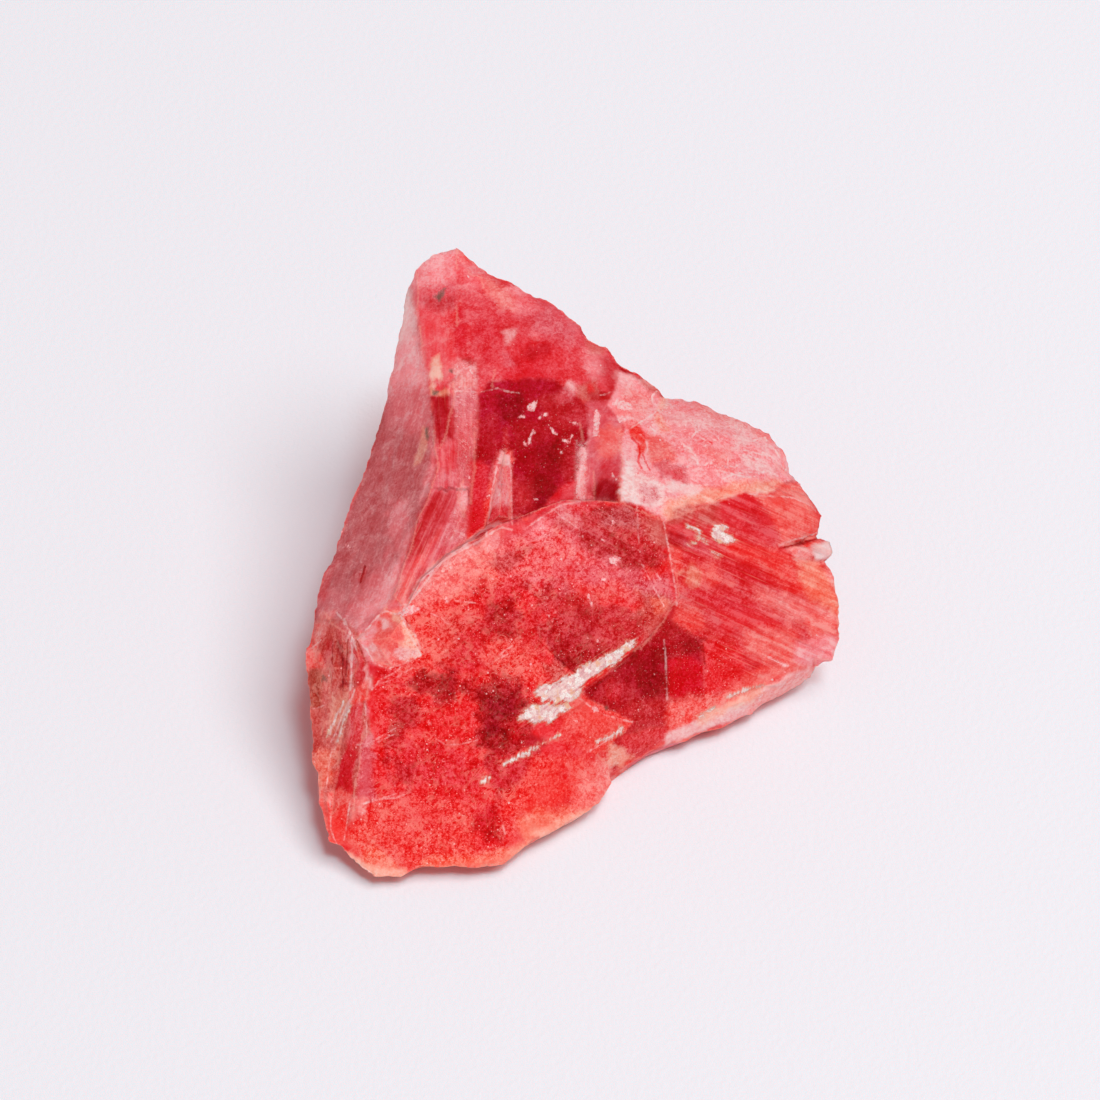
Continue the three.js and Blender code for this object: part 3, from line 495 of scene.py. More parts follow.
# Lines: kind, width in marks, paths.
# crest lines: partly a pale frosted ledge, partly a painted highlight; the wide one paints light over
# the shaded crease
LINES = tuple(rows("""
vein 1.4 728,697 745,690 762,685 / 337,742 343,724 349,706
vein 1.5 328,735 334,722 344,700
vein 1.6 530,751 542,744 560,735 / 688,525 696,528 700,531 / 690,543 697,543 / 697,536 707,542 /
 713,553 719,557
vein 2.2 700,717 706,712 714,709 / 598,742 612,736 622,729
vein 2.4 504,764 516,758 528,754
vein 3.4 520,756 527,754 530,754
flake 1.4 514,458 514,463
flake 1.6 487,496 489,495 / 540,591 544,590 / 587,636 588,638 / 613,521 613,524 / 346,545 350,547 /
 657,574 660,580 / 745,458 752,461 / 706,464 710,462 716,465
flake 1.8 520,417 524,416 / 539,418 547,414 / 572,435 570,439 / 561,452 563,453 / 612,474 616,479 /
 535,499 538,499 / 602,540 605,541 / 547,615 549,616 / 554,613 556,612 / 597,640 599,642 / 575,721
 577,722 / 429,722 430,724 / 768,657 778,662 788,666 / 690,489 696,488 701,490
flake 2.0 571,422 578,424 / 498,489 499,495
flake 2.2 548,424 551,428 556,434 / 524,443 526,445 / 589,596 591,605 / 603,579 605,580
flake 2.4 534,431 531,437 529,443 / 563,440 569,442 / 583,447 586,458
flake 2.6 579,535 583,536 / 757,473 768,471 777,475
flake 2.8 446,597 447,601
flake 3.0 582,466 579,480 578,496
hair 1.2 511,470 512,524 / 552,508 562,517 580,530 / 408,660 396,672 380,680 372,690 / 344,618
 349,630 346,642 / 365,704 367,730 366,745 / 304,655 312,647 322,640 / 310,709 318,708 326,704 /
 372,800 396,798 410,792 / 640,560 650,580 664,606 / 637,500 638,530 640,552 / 456,601 476,603 /
 361,748 378,742 395,734 / 362,804 378,800 395,794 / 372,686 392,680 412,668 / 436,739 446,745
 462,744 478,740 / 500,655 505,650 512,646 / 488,664 500,658 508,654 / 503,826 505,834 / 643,456
 646,464 644,472 / 700,437 706,440 711,444 704,446 / 750,444 755,440 765,437 770,444 / 745,454
 756,458 766,462 / 722,479 738,473 752,472 / 744,450 754,452 768,456 / 768,444 776,450 780,458
hair 1.3 455,391 480,392 498,388 510,392 519,393 / 486,536 489,512 492,490 497,466 / 448,544 452,537
 / 430,613 440,617 448,624 / 412,660 396,666 388,669 374,663 367,650 357,640 / 354,690 346,712
 338,736 334,752 / 332,748 328,770 326,792 / 350,800 346,830 344,840 / 588,752 600,745 612,737 /
 750,494 765,496 790,497 806,503 816,511 / 653,402 652,396 657,391 / 659,409 661,418 666,428 /
 692,437 696,432 700,430 / 704,465 712,463 718,468 / 762,452 772,456 786,470
hair 1.4 600,395 606,394 611,392 / 453,530 460,532 466,537 / 401,616 413,629 421,650 / 349,700
 340,722 331,742 / 343,704 334,720 330,734 / 357,745 370,743 382,736 396,728 / 336,849 348,857
 362,867 380,879 398,880 / 580,699 590,706 605,715 632,722 / 779,546 790,541 806,537 818,533 /
 640,434 646,440 648,450 644,456 / 728,458 728,464 734,467 740,464 / 716,470 730,473 745,477 756,476
 / 330,800 331,830 338,848
hair 1.5 620,434 628,430 637,424 650,416 659,409 / 641,424 650,426 656,432 / 682,443 690,449 696,456
 698,464
hair 1.6 357,640 366,630 378,616 386,611 400,615 408,630 421,655 409,661 / 336,612 345,622 351,634
 352,650 350,690 / 343,622 350,632 356,650 / 664,522 668,545 671,562 676,590 677,606 / 664,640
 666,660 667,700
hair 1.8 528,527 545,515 560,505 580,502
hair 2.2 400,606 410,602 421,588 432,574 444,560 460,551 480,541 493,532 501,527 512,530
hair 4.0 408,603 420,580 428,572 445,557 462,547 478,533 488,527 500,523
dark 1.2 348,640 346,676
dark 1.3 371,800 369,822 380,833 / 356,640 362,652 366,664 / 333,640 332,664 / 342,642 343,690
dark 1.4 700,441 708,441 712,443 / 538,640 556,657 576,673 / 365,566 360,582 / 703,645 705,664
dark 1.6 779,549 800,543 818,538
dark 2.0 643,455 646,462 650,470
dark 2.4 632,438 638,444 640,452 638,460 641,468
"""))


# ---------------------------------------------------------------- tools for the skin

FAR_OFF = 1e3               # marks, a distance that is as good as endless
NO_SIDE = 1e-9              # square marks, keeps a side without length from dividing by zero
PATCH_REACH = 40.0          # marks outside a patch over which its distance is worked out
PATH_REACH = 20.0           # marks beside a line over which its distance is worked out
SEED_SHIFT = (17.3, 5.1, 9.7)  # how far apart the noises of two seeds lie
ROUGH_NOISE = (3, 3)        # seed and octaves of the fine roughness
# Other noises laid on the skin: spacing of their lumps (mm), seed, octaves.
LUMPS = {
    "streaks": (9, 2, 1),
    "ridges": (1.0, 5, 2),
    "terraces": (2.4, 7, 2),
    "nicks": (0.7, 11, 2),
    "backdrop": (6.5, 13, 4),
    "ragged": (1.4, 17, 2),
    "ragged fine": (0.45, 19, 1),
    "vein wander": (6, 23, 3),
    "vein band": (5, 29, 2),
    "frost": (5, 37, 2),
}


def smooth(low, high, value):
    """Ease from 0 at low to 1 at high."""
    t = np.clip((value - low) / (high - low), 0, 1)
    return t * t * (3 - 2 * t)


def near(points, outline, reach):
    """Which points lie within reach of an outline's box."""
    low, high = outline.min(axis=0) - reach, outline.max(axis=0) + reach
    return np.flatnonzero(np.all((points > low) & (points < high), axis=1))


def edge_distance(points, outline, closed=True):
    """Distance in marks from points to the sides of an outline or a line."""
    best = np.full(len(points), FAR_OFF)
    ends = np.roll(outline, -1, axis=0) if closed else outline[1:]
    for start, end in zip(outline, ends):
        side = end - start
        along = np.clip((points - start) @ side / max(side @ side, NO_SIDE), 0, 1)
        gap = points - start - along[:, None] * side
        best = np.minimum(best, np.hypot(gap[:, 0], gap[:, 1]))
    return best


def depth_inside(all_points, outline):
    """Marks inside an outline, negative outside it. Beyond its reach it is only far outside."""
    close = near(all_points, outline, PATCH_REACH)
    points = all_points[close]
    inside = np.zeros(len(points), bool)
    for (x0, y0), (x1, y1) in zip(outline, np.roll(outline, -1, axis=0)):
        if y0 != y1:
            spans = (points[:, 1] < y0) != (points[:, 1] < y1)
            inside ^= spans & (points[:, 0] < x0 + (points[:, 1] - y0) * (x1 - x0) / (y1 - y0))
    depth = np.full(len(all_points), -FAR_OFF)
    depth[close] = np.where(inside, 1, -1) * edge_distance(points, outline)
    return depth


def lumps(points, spacing, seed, octaves):
    """Noise of about -1 to 1 at points, with lumps a spacing apart."""
    total = np.zeros(len(points))
    shift = Vector([seed * part for part in SEED_SHIFT])
    for octave in range(octaves):
        scale = 2.0 ** octave / spacing
        total += [noise.noise(Vector(p) * scale + shift) / 2 ** octave for p in points]
    return total


def linear(colour):
    """Display colour, 0 to 255, as the linear light that Blender works in."""
    c = np.array(colour, float) / 255
    return np.where(c <= 0.04045, c / 12.92, ((c + 0.055) / 1.055) ** 2.4)


def tones(*alpha):
    """The tones as linear light, with an alpha where one is given."""
    return {name: (*linear(colour).tolist(), *alpha) for name, colour in TONES.items()}


def marking(points, kind):
    """Marks inside the nearest patch or line of one kind, negative outside them all."""
    best = np.full(len(points), -FAR_OFF)
    for patch_kind, outline in PATCHES:
        if patch_kind == kind:
            best = np.maximum(best, depth_inside(points, outline))
    for line_kind, width, path in LINES:
        if line_kind == kind:
            close = near(points, path, PATH_REACH)
            gap = edge_distance(points[close], path, closed=False)
            best[close] = np.maximum(best[close], width / 2 - gap)
    return best


def search_tree(places, chosen):
    """A tree that finds the nearest of the chosen points."""
    tree = KDTree(len(chosen))
    for i in chosen:
        tree.insert(places[i], int(i))
    tree.balance()
    return tree


# ---------------------------------------------------------------- the skin's mesh

WELD = 1e-6                 # metres between points that are one
ARRIS_ANGLE = math.radians(27)
GRAZING = 0.01              # cosine of the flattest slant at which a face is still seen
CLEAR = 0.03                # mm by which a ray starts clear of its own face
SUNK = 0.02                 # mm under the skin at which a ray through the stone starts
THICKEST = 20.0             # mm of stone where a ray finds no other side
SOFTEN_ROUNDS = 3           # rounds of splitting after which the skin is softened
SOFTEN_PASSES = 3
SOFTEN_SHARE = 0.5          # share of the way to its neighbours that a point moves
SPLIT_ROUNDS = 7
LINE_REACH = 4.0            # marks beside a line or patch that are meshed finest


def sees(tree, point, normal):
    """Whether the eye at the sight sheet sees a point."""
    ray = Vector(SIGHT_EYE) - point
    reach = ray.length
    ray /= reach
    if normal.dot(ray) < GRAZING:
        return False
    return tree.ray_cast(point + normal * CLEAR + ray * CLEAR, ray, reach)[0] is None


def welded_skin(node):
    """The solid's skin in millimetres, with its arrises marked and its seen faces flagged."""
    bm = bmesh.new()
    bm.from_mesh(node.data)
    bmesh.ops.remove_doubles(bm, verts=bm.verts, dist=WELD)
    bmesh.ops.scale(bm, vec=(1 / MM,) * 3, verts=bm.verts)
    bm.normal_update()
    tree = BVHTree.FromBMesh(bm)
    seen = bm.faces.layers.int.new("seen")
    for edge in bm.edges:
        edge.smooth = edge.calc_face_angle(0) < ARRIS_ANGLE
    for face in bm.faces:
        spots = [face.calc_center_median()] + [v.co.copy() for v in face.verts]
        face[seen] = any(sees(tree, spot, face.normal) for spot in spots)
        face.smooth = True
    return bm


def split_long_edges(bm, settings):
    """Split every edge that is longer than the skin's mesh size there. True if any was split."""
    seen = bm.faces.layers.int["seen"]
    bm.verts.index_update()
    place = np.array([v.co[:] for v in bm.verts])
    ends = place[np.array([[v.index for v in edge.verts] for edge in bm.edges])]
    length = np.linalg.norm(ends[:, 0] - ends[:, 1], axis=1)
    in_sight = np.array([any(face[seen] for face in edge.link_faces) for edge in bm.edges])
    sheet = on_sheet(ends.mean(axis=1))
    near_line = np.zeros(len(ends), bool)
    candidates = np.flatnonzero(in_sight & (length > settings.line_mesh))
    reach = np.max([marking(sheet[candidates], kind) for kind in FINE_KINDS], axis=0)
    near_line[candidates] = reach > -LINE_REACH - length[candidates] * SHEET_SCALE / 2
    limit = np.where(in_sight, settings.front_mesh, settings.back_mesh)
    limit = np.where(near_line, settings.line_mesh, limit)
    edges = list(bm.edges)
    long_edges = [edges[i] for i in np.flatnonzero(length > limit)]
    if not long_edges:
        return False
    bmesh.ops.subdivide_edges(bm, edges=long_edges, cuts=1)
    bmesh.ops.triangulate(bm, faces=[face for face in bm.faces if len(face.verts) > 3])
    return True


def soften(bm):
    """Draw the skin smooth between its arrises."""
    free = [v for v in bm.verts if all(edge.smooth for edge in v.link_edges)]
    for _ in range(SOFTEN_PASSES):
        bmesh.ops.smooth_vert(bm, verts=free, factor=SOFTEN_SHARE,
                              use_axis_x=True, use_axis_y=True, use_axis_z=True)


class Skin:
    """The refined skin as arrays: places, normals, what the eye sees and how thick the stone is."""

    def __init__(self, bm):
        bm.normal_update()
        bm.verts.index_update()
        self.bm = bm
        self.place = np.array([v.co[:] for v in bm.verts])
        self.normal = np.array([v.normal[:] for v in bm.verts])
        self.sheet = on_sheet(self.place)
        self.tree = BVHTree.FromBMesh(bm)
        self.seen = np.array([sees(self.tree, v.co, v.normal) for v in bm.verts])
        on_arris = [not all(e.smooth for e in v.link_edges) for v in bm.verts]
        arrises = search_tree(self.place, np.flatnonzero(on_arris))
        self.arris = np.array([arrises.find(p)[2] for p in self.place])
        self.thickness = np.array([self.ray(p, -n) for p, n in zip(self.place, self.normal)])

    def ray(self, point, inward):
        """Millimetres of stone straight under a point."""
        inward = Vector(inward)
        hit, _, _, depth = self.tree.ray_cast(Vector(point) + inward * SUNK, inward)
        return THICKEST if hit is None else depth

    def lumps(self, name):
        return lumps(self.place, *LUMPS[name])

    def layered(self, layers):
        """The greatest strength at each point among (strength, soft edge, outline) layers."""
        total = np.zeros(len(self.place))
        for strength, soft, outline in layers:
            inside = depth_inside(self.sheet, outline)
            total = np.maximum(total, strength * smooth(-soft, soft, inside))
        return np.where(self.seen, total, 0)


# ---------------------------------------------------------------- carving and tinting the skin

CLEAVAGE_FRAME = np.array(((0.18, 0.47, 0.86), (0.97, -0.22, -0.08), (0.15, 0.85, -0.50)))
REGION_SHIFT = 31.0         # keeps the grain of one striated region apart from the next
RIDGE_SIZE = (8, 0.42, 1)   # mm along the grain, across it and between regions
TERRACE_SQUASH = (1, 1, 1.6)
# Small steps: the band of the terrace noise over which each one rises, and its direction.
STEPS = ((0.18, 0.24, 1), (0.42, 0.47, 1), (-0.35, -0.30, -1))
HIDDEN_ROUGHER = 1.2        # how much rougher the hidden sides are
SEEN_STEPS = 0.35           # share of the steps' height on the seen side
FELT_CALM = 0.8             # share of the steps' height that felt takes away
ARRIS_CALM = 0.8            # mm beside an arris in which the relief grows
ARRIS_RELIEF = 0.25         # share of the relief on the arris itself
NICK_REACH = 0.35           # mm beside an arris that nicks take
SEAT_HEIGHT = 0.05          # mm above the floor that stay as the solid has them
BACKDROP = ("window", "garnet", "red", "flame", "coral", "rose", "petal")
FACET_PICK = np.array((1.3, -0.7, 0.9)) * 3.5  # how a facet's slant picks its tone
BACKDROP_LEVEL = 0.52       # middle of the backdrop's tones, 0 to 1
# The thin share and span paint the backdrop paler where the stone is thin: a painted glow of light
# let through it.
FACET_SHARE, LUMP_SHARE, THIN_GLOW_SHARE = 0.22, 0.5, 0.25
THIN_GLOW = (5.0, 0.5)           # mm of stone over which the backdrop grows paler
RAGGED_SHARES = (0.9, 0.8)  # coarse and fine raggedness of the panes' edges
# Veins of the hidden sides: which way each sheet faces, how far out it lies, its half width (mm).
SIDE_VEINS = (((0.48, 0.36, 0.80), 7.5, 0.35), ((0.80, -0.10, 0.60), -6.0, 0.25),
              ((-0.30, 0.75, 0.59), 11.0, 0.22))
VEIN_WANDER = 0.9           # mm by which those sheets bend
VEIN_BAND = (-0.3, 0.5)     # noise over which a sheet grows from nothing to its full width
VEIN_CUT = 0.08             # mm taken off each side of a sheet, so that it breaks up
SIDE_REACH = (0.4, 4.5)     # mm round the limb of the seen side over which its tones run on
STREAK_BAND = (-0.3, 0.4)   # noise over which a hidden side grows striated
HIDDEN_STREAK = 0.7
HIDDEN_FELT = 0.55
HIDDEN_FROST = 0.6
FROST_BAND = (-0.1, 0.5)    # noise over which a hidden side grows frosted


def grain_of(skin):
    """Millimetres along and across the grain at each point, and how striated the skin is."""
    grain = skin.place @ CLEAVAGE_FRAME.T
    streak = HIDDEN_STREAK * smooth(*STREAK_BAND, skin.lumps("streaks"))
    streak = np.where(skin.seen, 0, streak)
    for region, (slant, strength, soft, outline) in enumerate(STREAKS):
        weight = strength * smooth(-soft, soft, depth_inside(skin.sheet, outline))
        taken = skin.seen & (weight > streak)
        turn = math.radians(slant)
        across = (skin.sheet @ (-math.sin(turn), math.cos(turn))) / SHEET_SCALE
        along = (skin.sheet @ (math.cos(turn), math.sin(turn))) / SHEET_SCALE
        third = np.full(len(along), REGION_SHIFT * (region + 1))
        grain = np.where(taken[:, None], np.stack((along, across, third), axis=1), grain)
        streak = np.where(taken, weight, streak)
    return grain, streak


def carve(skin, grain, streak, felt, settings):
    """Move the points along their normals: roughness, striations, steps and nicked arrises."""
    hidden = ~skin.seen
    rough = lumps(skin.place, settings.rough_spacing, *ROUGH_NOISE)
    ridges = lumps(grain / RIDGE_SIZE, *LUMPS["ridges"])
    terraces = lumps(skin.place * TERRACE_SQUASH, *LUMPS["terraces"])
    steps = sum(way * smooth(low, high, terraces) for low, high, way in STEPS)
    height = settings.rough_height * rough * (1 + HIDDEN_ROUGHER * hidden)
    height += settings.ridge_height * ridges * streak
    steps *= np.where(hidden, 1, SEEN_STEPS) * (1 - FELT_CALM * felt)
    height += settings.step_height * steps
    height *= ARRIS_RELIEF + (1 - ARRIS_RELIEF) * smooth(0, ARRIS_CALM, skin.arris)
    nicks = np.abs(skin.lumps("nicks")) * settings.nick_depth
    height -= nicks * smooth(NICK_REACH, 0, skin.arris)
    height[skin.place[:, 2] < SEAT_HEIGHT] = 0
    place = skin.place + skin.normal * height[:, None]
    place[:, 2] = np.maximum(place[:, 2], 0)
    for vert, spot in zip(skin.bm.verts, place):
        vert.co = spot


def backdrop(skin, light):
    """Tones of the sides that the sight sheet doesn't reach: one a facet, broken by lumps."""
    level = BACKDROP_LEVEL + FACET_SHARE * np.sin(skin.normal @ FACET_PICK)
    # paler where the stone is thin: a painted glow of light let through it
    level += LUMP_SHARE * skin.lumps("backdrop") + THIN_GLOW_SHARE * smooth(*THIN_GLOW, skin.thickness)
    stops = np.linspace(0, 1, len(BACKDROP))
    bands = zip(*[light[name] for name in BACKDROP])
    return np.stack([np.interp(level, stops, band) for band in bands], axis=1)


def tint_skin(skin):
    """The tone at each point, from the panes on the seen side and the backdrop elsewhere."""
    light = tones()
    tint = backdrop(skin, light)
    coarse, fine = RAGGED_SHARES
    rag = coarse * skin.lumps("ragged") + fine * skin.lumps("ragged fine")
    seen = np.flatnonzero(skin.seen)
    painted = tint[seen]
    for tone, strength, soft, ragged, outline in PANES:
        inside = depth_inside(skin.sheet[seen], outline) + ragged * rag[seen]
        weight = strength * smooth(-soft, soft, inside)
        painted += (light[tone] - painted) * weight[:, None]
    tint[seen] = painted
    tree = search_tree(skin.place, seen)
    for i in np.flatnonzero(~skin.seen):
        _, nearest, gap = tree.find(skin.place[i])
        tint[i] += (tint[nearest] - tint[i]) * (1 - smooth(*SIDE_REACH, gap))
    return tint


def side_veins(skin):
    """Marks inside the cream veins that cut through the hidden sides as thin sheets."""
    wander = VEIN_WANDER * skin.lumps("vein wander")
    band = smooth(*VEIN_BAND, skin.lumps("vein band"))
    gaps = [width * band - VEIN_CUT - np.abs(skin.place @ np.array(sheet) - offset + wander)
            for sheet, offset, width in SIDE_VEINS]
    return np.max(gaps, axis=0) * SHEET_SCALE


def set_attribute(mesh, name, kind, values):
    """Store one value, vector or colour for each point of a mesh."""
    attribute = mesh.attributes.new(name, kind, "POINT")
    field = {"FLOAT": "value", "FLOAT_VECTOR": "vector", "FLOAT_COLOR": "color"}[kind]
    attribute.data.foreach_set(field, np.ascontiguousarray(values, np.float32).ravel())


# ---------------------------------------------------------------- node graphs

SPLIT_COLOUR = "ShaderNodeSeparateColor"
LINE_CORE = 0.3             # share of a thin line's width that is full strength
MIX_INPUTS, MIX_RESULT = (0, 6, 7), 2  # sockets of a mix node that blends colours


class Value:
    """An output of a node. Arithmetic on it adds further nodes."""

    def __init__(self, graph, socket):
        self.graph = graph
        self.socket = socket

    def math(self, operation, *values):
        return self.graph.add("ShaderNodeMath", *values, operation=operation)

    def __add__(self, other):
        return self.math("ADD", self, other)

    def __sub__(self, other):
        return self.math("SUBTRACT", self, other)

    def __mul__(self, other):
        return self.math("MULTIPLY", self, other)

    def __pow__(self, other):
        return self.math("POWER", self, other)

    def ramp(self, low, high, to_low=0.0, to_high=1.0):
        """Ease from to_low at low to to_high at high."""
        return self.graph.add("ShaderNodeMapRange", self, low, high, to_low, to_high,
                              interpolation_type="SMOOTHSTEP")

    def ease(self, name):
        return self.ramp(*EASES[name])

    def line(self, width):
        """Thin lines where a noise crosses its middle."""
        return self.math("ABSOLUTE", self - 0.5).ramp(width, width * LINE_CORE)

    def apart(self, kind="ShaderNodeSeparateXYZ"):
        """The three parts of a vector or a colour."""
        node = self.graph.add(kind, self).socket.node
        return [Value(self.graph, socket) for socket in node.outputs]

    def deepened(self, power):
        """A colour after light has gone through more of the stone, which keeps its red best."""
        powers = [self.math("MAXIMUM", power * gain + base, power * least)
                  for gain, base, least in LIGHT_LOSS]
        bands = [band ** force for band, force in zip(self.apart(SPLIT_COLOUR), powers)]
        return self.graph.add("ShaderNodeCombineColor", *bands)

    def mapped(self, **change):
        return self.graph.add("ShaderNodeMapping", Vector=self, **change)

    def noise(self, name):
        names = "Scale", "Detail", "Roughness", "Distortion"
        return self.graph.add("ShaderNodeTexNoise", out="Fac", Vector=self,
                              **dict(zip(names, NOISES[name])))

    def cells(self, scale, out="Distance"):
        return self.graph.add("ShaderNodeTexVoronoi", out=out, Vector=self, Scale=scale)

    def shard(self, scale):
        """One shade, 0 to 1, for each straight-sided shard."""
        return self.cells(scale, "Color").apart(SPLIT_COLOUR)[0]


class Graph:
    """Short calls that add nodes to a tree and link them."""

    def __init__(self, tree):
        self.tree = tree

    def feed(self, socket, value):
        if isinstance(value, Value):
            self.tree.links.new(value.socket, socket)
        else:
            socket.default_value = value

    def add(self, kind, *values, out=0, **named):
        """Add a node and give one of its outputs.

        Values feed its inputs in order. A capitalised name is an input, any other is a setting.
        """
        node = self.tree.nodes.new(kind)
        for name in sorted(named, key=lambda name: name[0].isupper()):
            if name[0].isupper():
                self.feed(node.inputs[name], named[name])
            else:
                setattr(node, name, named[name])
        for socket, value in zip(node.inputs, values):
            self.feed(socket, value)
        return Value(self, node.outputs[out])


class Finish(Graph):
    """The graph of a new material."""

    def __init__(self, name):
        self.material = bpy.data.materials.new(name)
        self.material.use_nodes = True
        super().__init__(self.material.node_tree)
        self.shader = self.tree.nodes["Principled BSDF"]
        where = self.add("ShaderNodeTexCoord", out="Object")
        self.place = where.mapped(Scale=(1 / MM,) * 3)  # in millimetres

    def total(self, values):
        """The sum of several values."""
        first, *others = values
        for other in others:
            first += other
        return first

    def read(self, name, out="Vector"):
        """A stored attribute."""
        return self.add("ShaderNodeAttribute", attribute_name=name, out=out)

    def mix(self, share, a, b):
        """Blend colour a towards colour b."""
        node = self.tree.nodes.new("ShaderNodeMix")
        node.data_type = "RGBA"
        for index, value in zip(MIX_INPUTS, (share, a, b)):
            self.feed(node.inputs[index], value)
        return Value(self, node.outputs[MIX_RESULT])

    def bump(self, height, depth, **under):
        return self.add("ShaderNodeBump", Height=height, Distance=depth * MM, **under)

    def finished(self, inputs):
        """Give the shader its inputs."""
        for name, value in inputs.items():
            self.feed(self.shader.inputs[name], value)
        return self.material


# ---------------------------------------------------------------- finishes

# How red, green and blue fade with depth: gain and base of their power, and its least share.
LIGHT_LOSS = ((0.75, 0.25, 0), (1, 0, 0), (0.93, 0.07, 1))
CRUMB_TOOTH, PAPER_TOOTH = 0.02, 0.05  # mm of bump
# Noises: how many lumps to the millimetre (or to the grain's width), detail, roughness and bend.
NOISES = {
    "mottle": (0.7, 6, 0.66, 0.6),
    "fine": (5.5, 4, 0.7, 0.2),
    "grit": (13.0, 2, 0.6),
    "ragged": (3.2, 5, 0.75, 0.4),
    "streaks": (1.0, 5, 0.66, 0.15),
    "hairs": (1.0, 2),
    "patchy": (1.1, 3),
    "fine weave": (3.0, 1, 0.5, 1.2),
    "coarse weave": (1.7, 1, 0.5, 1.2),
    "fibre": (1.0, 1, 0.4, 0.15),
    "curls": (0.9, 2, 0.5, 1.6),
    "cloudy": (0.7, 2),
    "hair breaks": (2.2, 2),
    "rust": (1.6, 3),
    "crumb": (1.4, 2),
    "crumb tooth": (14, 2),
    "paper tooth": (2.2, 4, 0.6),
}
# Eases: where they start and are full, and what they give there if that isn't 0 and 1.
EASES = {
    "gloom": (0.47, 0.66),
    "shard tone": (0.5, 0.8),
    "thready": (0.0, 0.045, 0.3, 1.0),
    "broken": (0.54, 0.44),
    "patchy": (0.46, 0.62),
    "grained": (0.52, 0.66),
    "strands": (0.57, 0.72),
    "bright": (0.04, 0.35, 0.42, 0.9),
    "curl patches": (0.2, 0.9, 0.2, 1.0),
    "curl frost": (0.1, 0.5, 0.0, 0.9),
    "powder": (0.44, 0.62, 0.03, 0.53),
    "cloudy": (0.46, 0.60, 0.2, 0.9),
    "speck felt": (0.1, 0.6, 0.1, 1.0),
    "wear_and_highlight": (0.16, 0.0, 0.0, 0.55),
    "blotch": (0.40, 0.56),
    "white grains": (0.55, 0.8),
    "rosy grit": (0.54, 0.64),
    "rust": (0.57, 0.66, 0.0, 0.7),
    "rim": (-0.20, 0.02),
    "core": (-0.05, 0.06),
    "flake": (-0.04, 0.07),
    "flake breaks": (0.35, 0.5, 0.4, 0.9),
    "flake tone": (0.40, 0.60),
    "hair": (-0.04, 0.05),
    "hair breaks": (0.36, 0.52, 0.25, 0.95),
    "dark": (-0.04, 0.04),
    "stain": (-0.12, 0.12),
    "crumb": (0.35, 0.65),
    "paper specks": (0.012, 0.006),
}
# Sums of fields: a base, and the share of each field.
BLENDS = {
    "gloom": (0, {"fine": 0.40, "mottle": 0.30, "grit": 0.15, "sugar": 0.15}),
    "grained": (0.7, {"fine": -0.35, "sugar": -0.35, "grit": 0.3}),
    "powder": (0, {"fine": 0.5, "grit": 0.5}),
    "wear_and_highlight": (-0.3, {"arris": 1, "fine": 0.6}),
    "wander": (-0.625, {"ragged": 0.8, "hairs": 0.45}),
    "blotch": (0, {"ragged": 0.75, "hairs": 0.25}),
    "relief": (0, {"fine": 0.6, "grit": 0.35, "core": 0.4}),
    "roughness": (0.19, {"frost": 0.25, "felt": 0.10, "core": 0.30, "fine": 0.3}),
}
# How grains deepen the tone: the grain, its gate, its gain where the gate is open and everywhere.
DEPTHS = (
    ("mottle", "felt", 0.7, 1.2),
    ("fine", "felt", 1.5, 0.8),
    ("grit", "felt", 1.5, 0.3),
    ("sugar", "felt", 0.6, 0.25),
    ("fine", "frost", 3.0, 0),
    ("sugar", "frost", 0.9, 0),
    ("streaks", "streak", 2.8, 0),
)
SHARD_DEPTH, GLOOM_DEPTH, FELT_DEPTH = 0.25, 1.5, 0.14
DEPTH_BASE, LEAST_DEPTH, DARK_DEPTH = 1.04, 0.7, 2.6
GLOOM_RED = 2               # power of the tone's own red that lets gloom in
# How strongly layers are mixed over what lies below them.
SHARES = {"warm": 0.45, "pale": 0.5, "grained": 0.25, "weave": 0.33, "fibres": 0.5,
          "strands": 0.35, "rim": 0.6, "core": 0.92, "dark": 0.85, "stain": 0.85}
# How far the ragged edges of each kind of mark wander.
EDGES = {"flake": 0.6, "hair": 0.3, "dark": 0.3, "stain": 0.5}
SUGAR_SHARDS = ((7.5, 0.55), (3.6, 0.45))  # how many to the millimetre, and their share
INNER_SHARDS = (0.5, 1.3)   # how many to the millimetre
TONE_SHARDS, VEIN_SHARDS = 4.5, 4.0
SHARD_BEND = 0.6            # mm by which the edges of the inner shards wander
STREAK_GRAIN = (0.22, 2.6, 1)  # striations along and across the grain, to the millimetre
HAIR_GRAIN = (0.35, 7.0, 1)
WEAVE_WIDTHS = {"fine weave": 0.09, "coarse weave": 0.055}
CURL_WIDTH = 0.028
# Fine pale fibres: how they are turned, and how often they change along and across.
FIBRE_SETS = (((0.3, 0.5, 0.4), 0.30, 1.7), ((0.2, -0.4, 1.4), 0.34, 1.9),
              ((-0.5, 0.3, 2.5), 0.32, 2.1))
FIBRE_WIDTH = 0.045
# White specks: how many to the millimetre, their size against that, and their strength.
SPECK_SETS = ((1.5, 0.10, 0.8), (2.9, 0.12, 0.6), (5.5, 0.20, 0.45))
SPECK_CORE = 0.6            # share of a speck that is full strength
# The veins: dusty pink, cream, white grains, rosy grit and rusty blotches.
CREAM = ((0.72, 0.34, 0.36, 1), (0.90, 0.68, 0.64, 1), (0.96, 0.88, 0.84, 1), (0.80, 0.46, 0.46, 1),
         (0.84, 0.42, 0.22, 1))
RELIEF = 0.07               # mm of bump in the fine grain and the striations
PAPER_SPECKS, PAPER_SPECK_SHARE = 0.045, 0.5  # to the millimetre, and their strength
PAPER_SPECK_COLOUR = (0.35, 0.3, 0.28, 1)


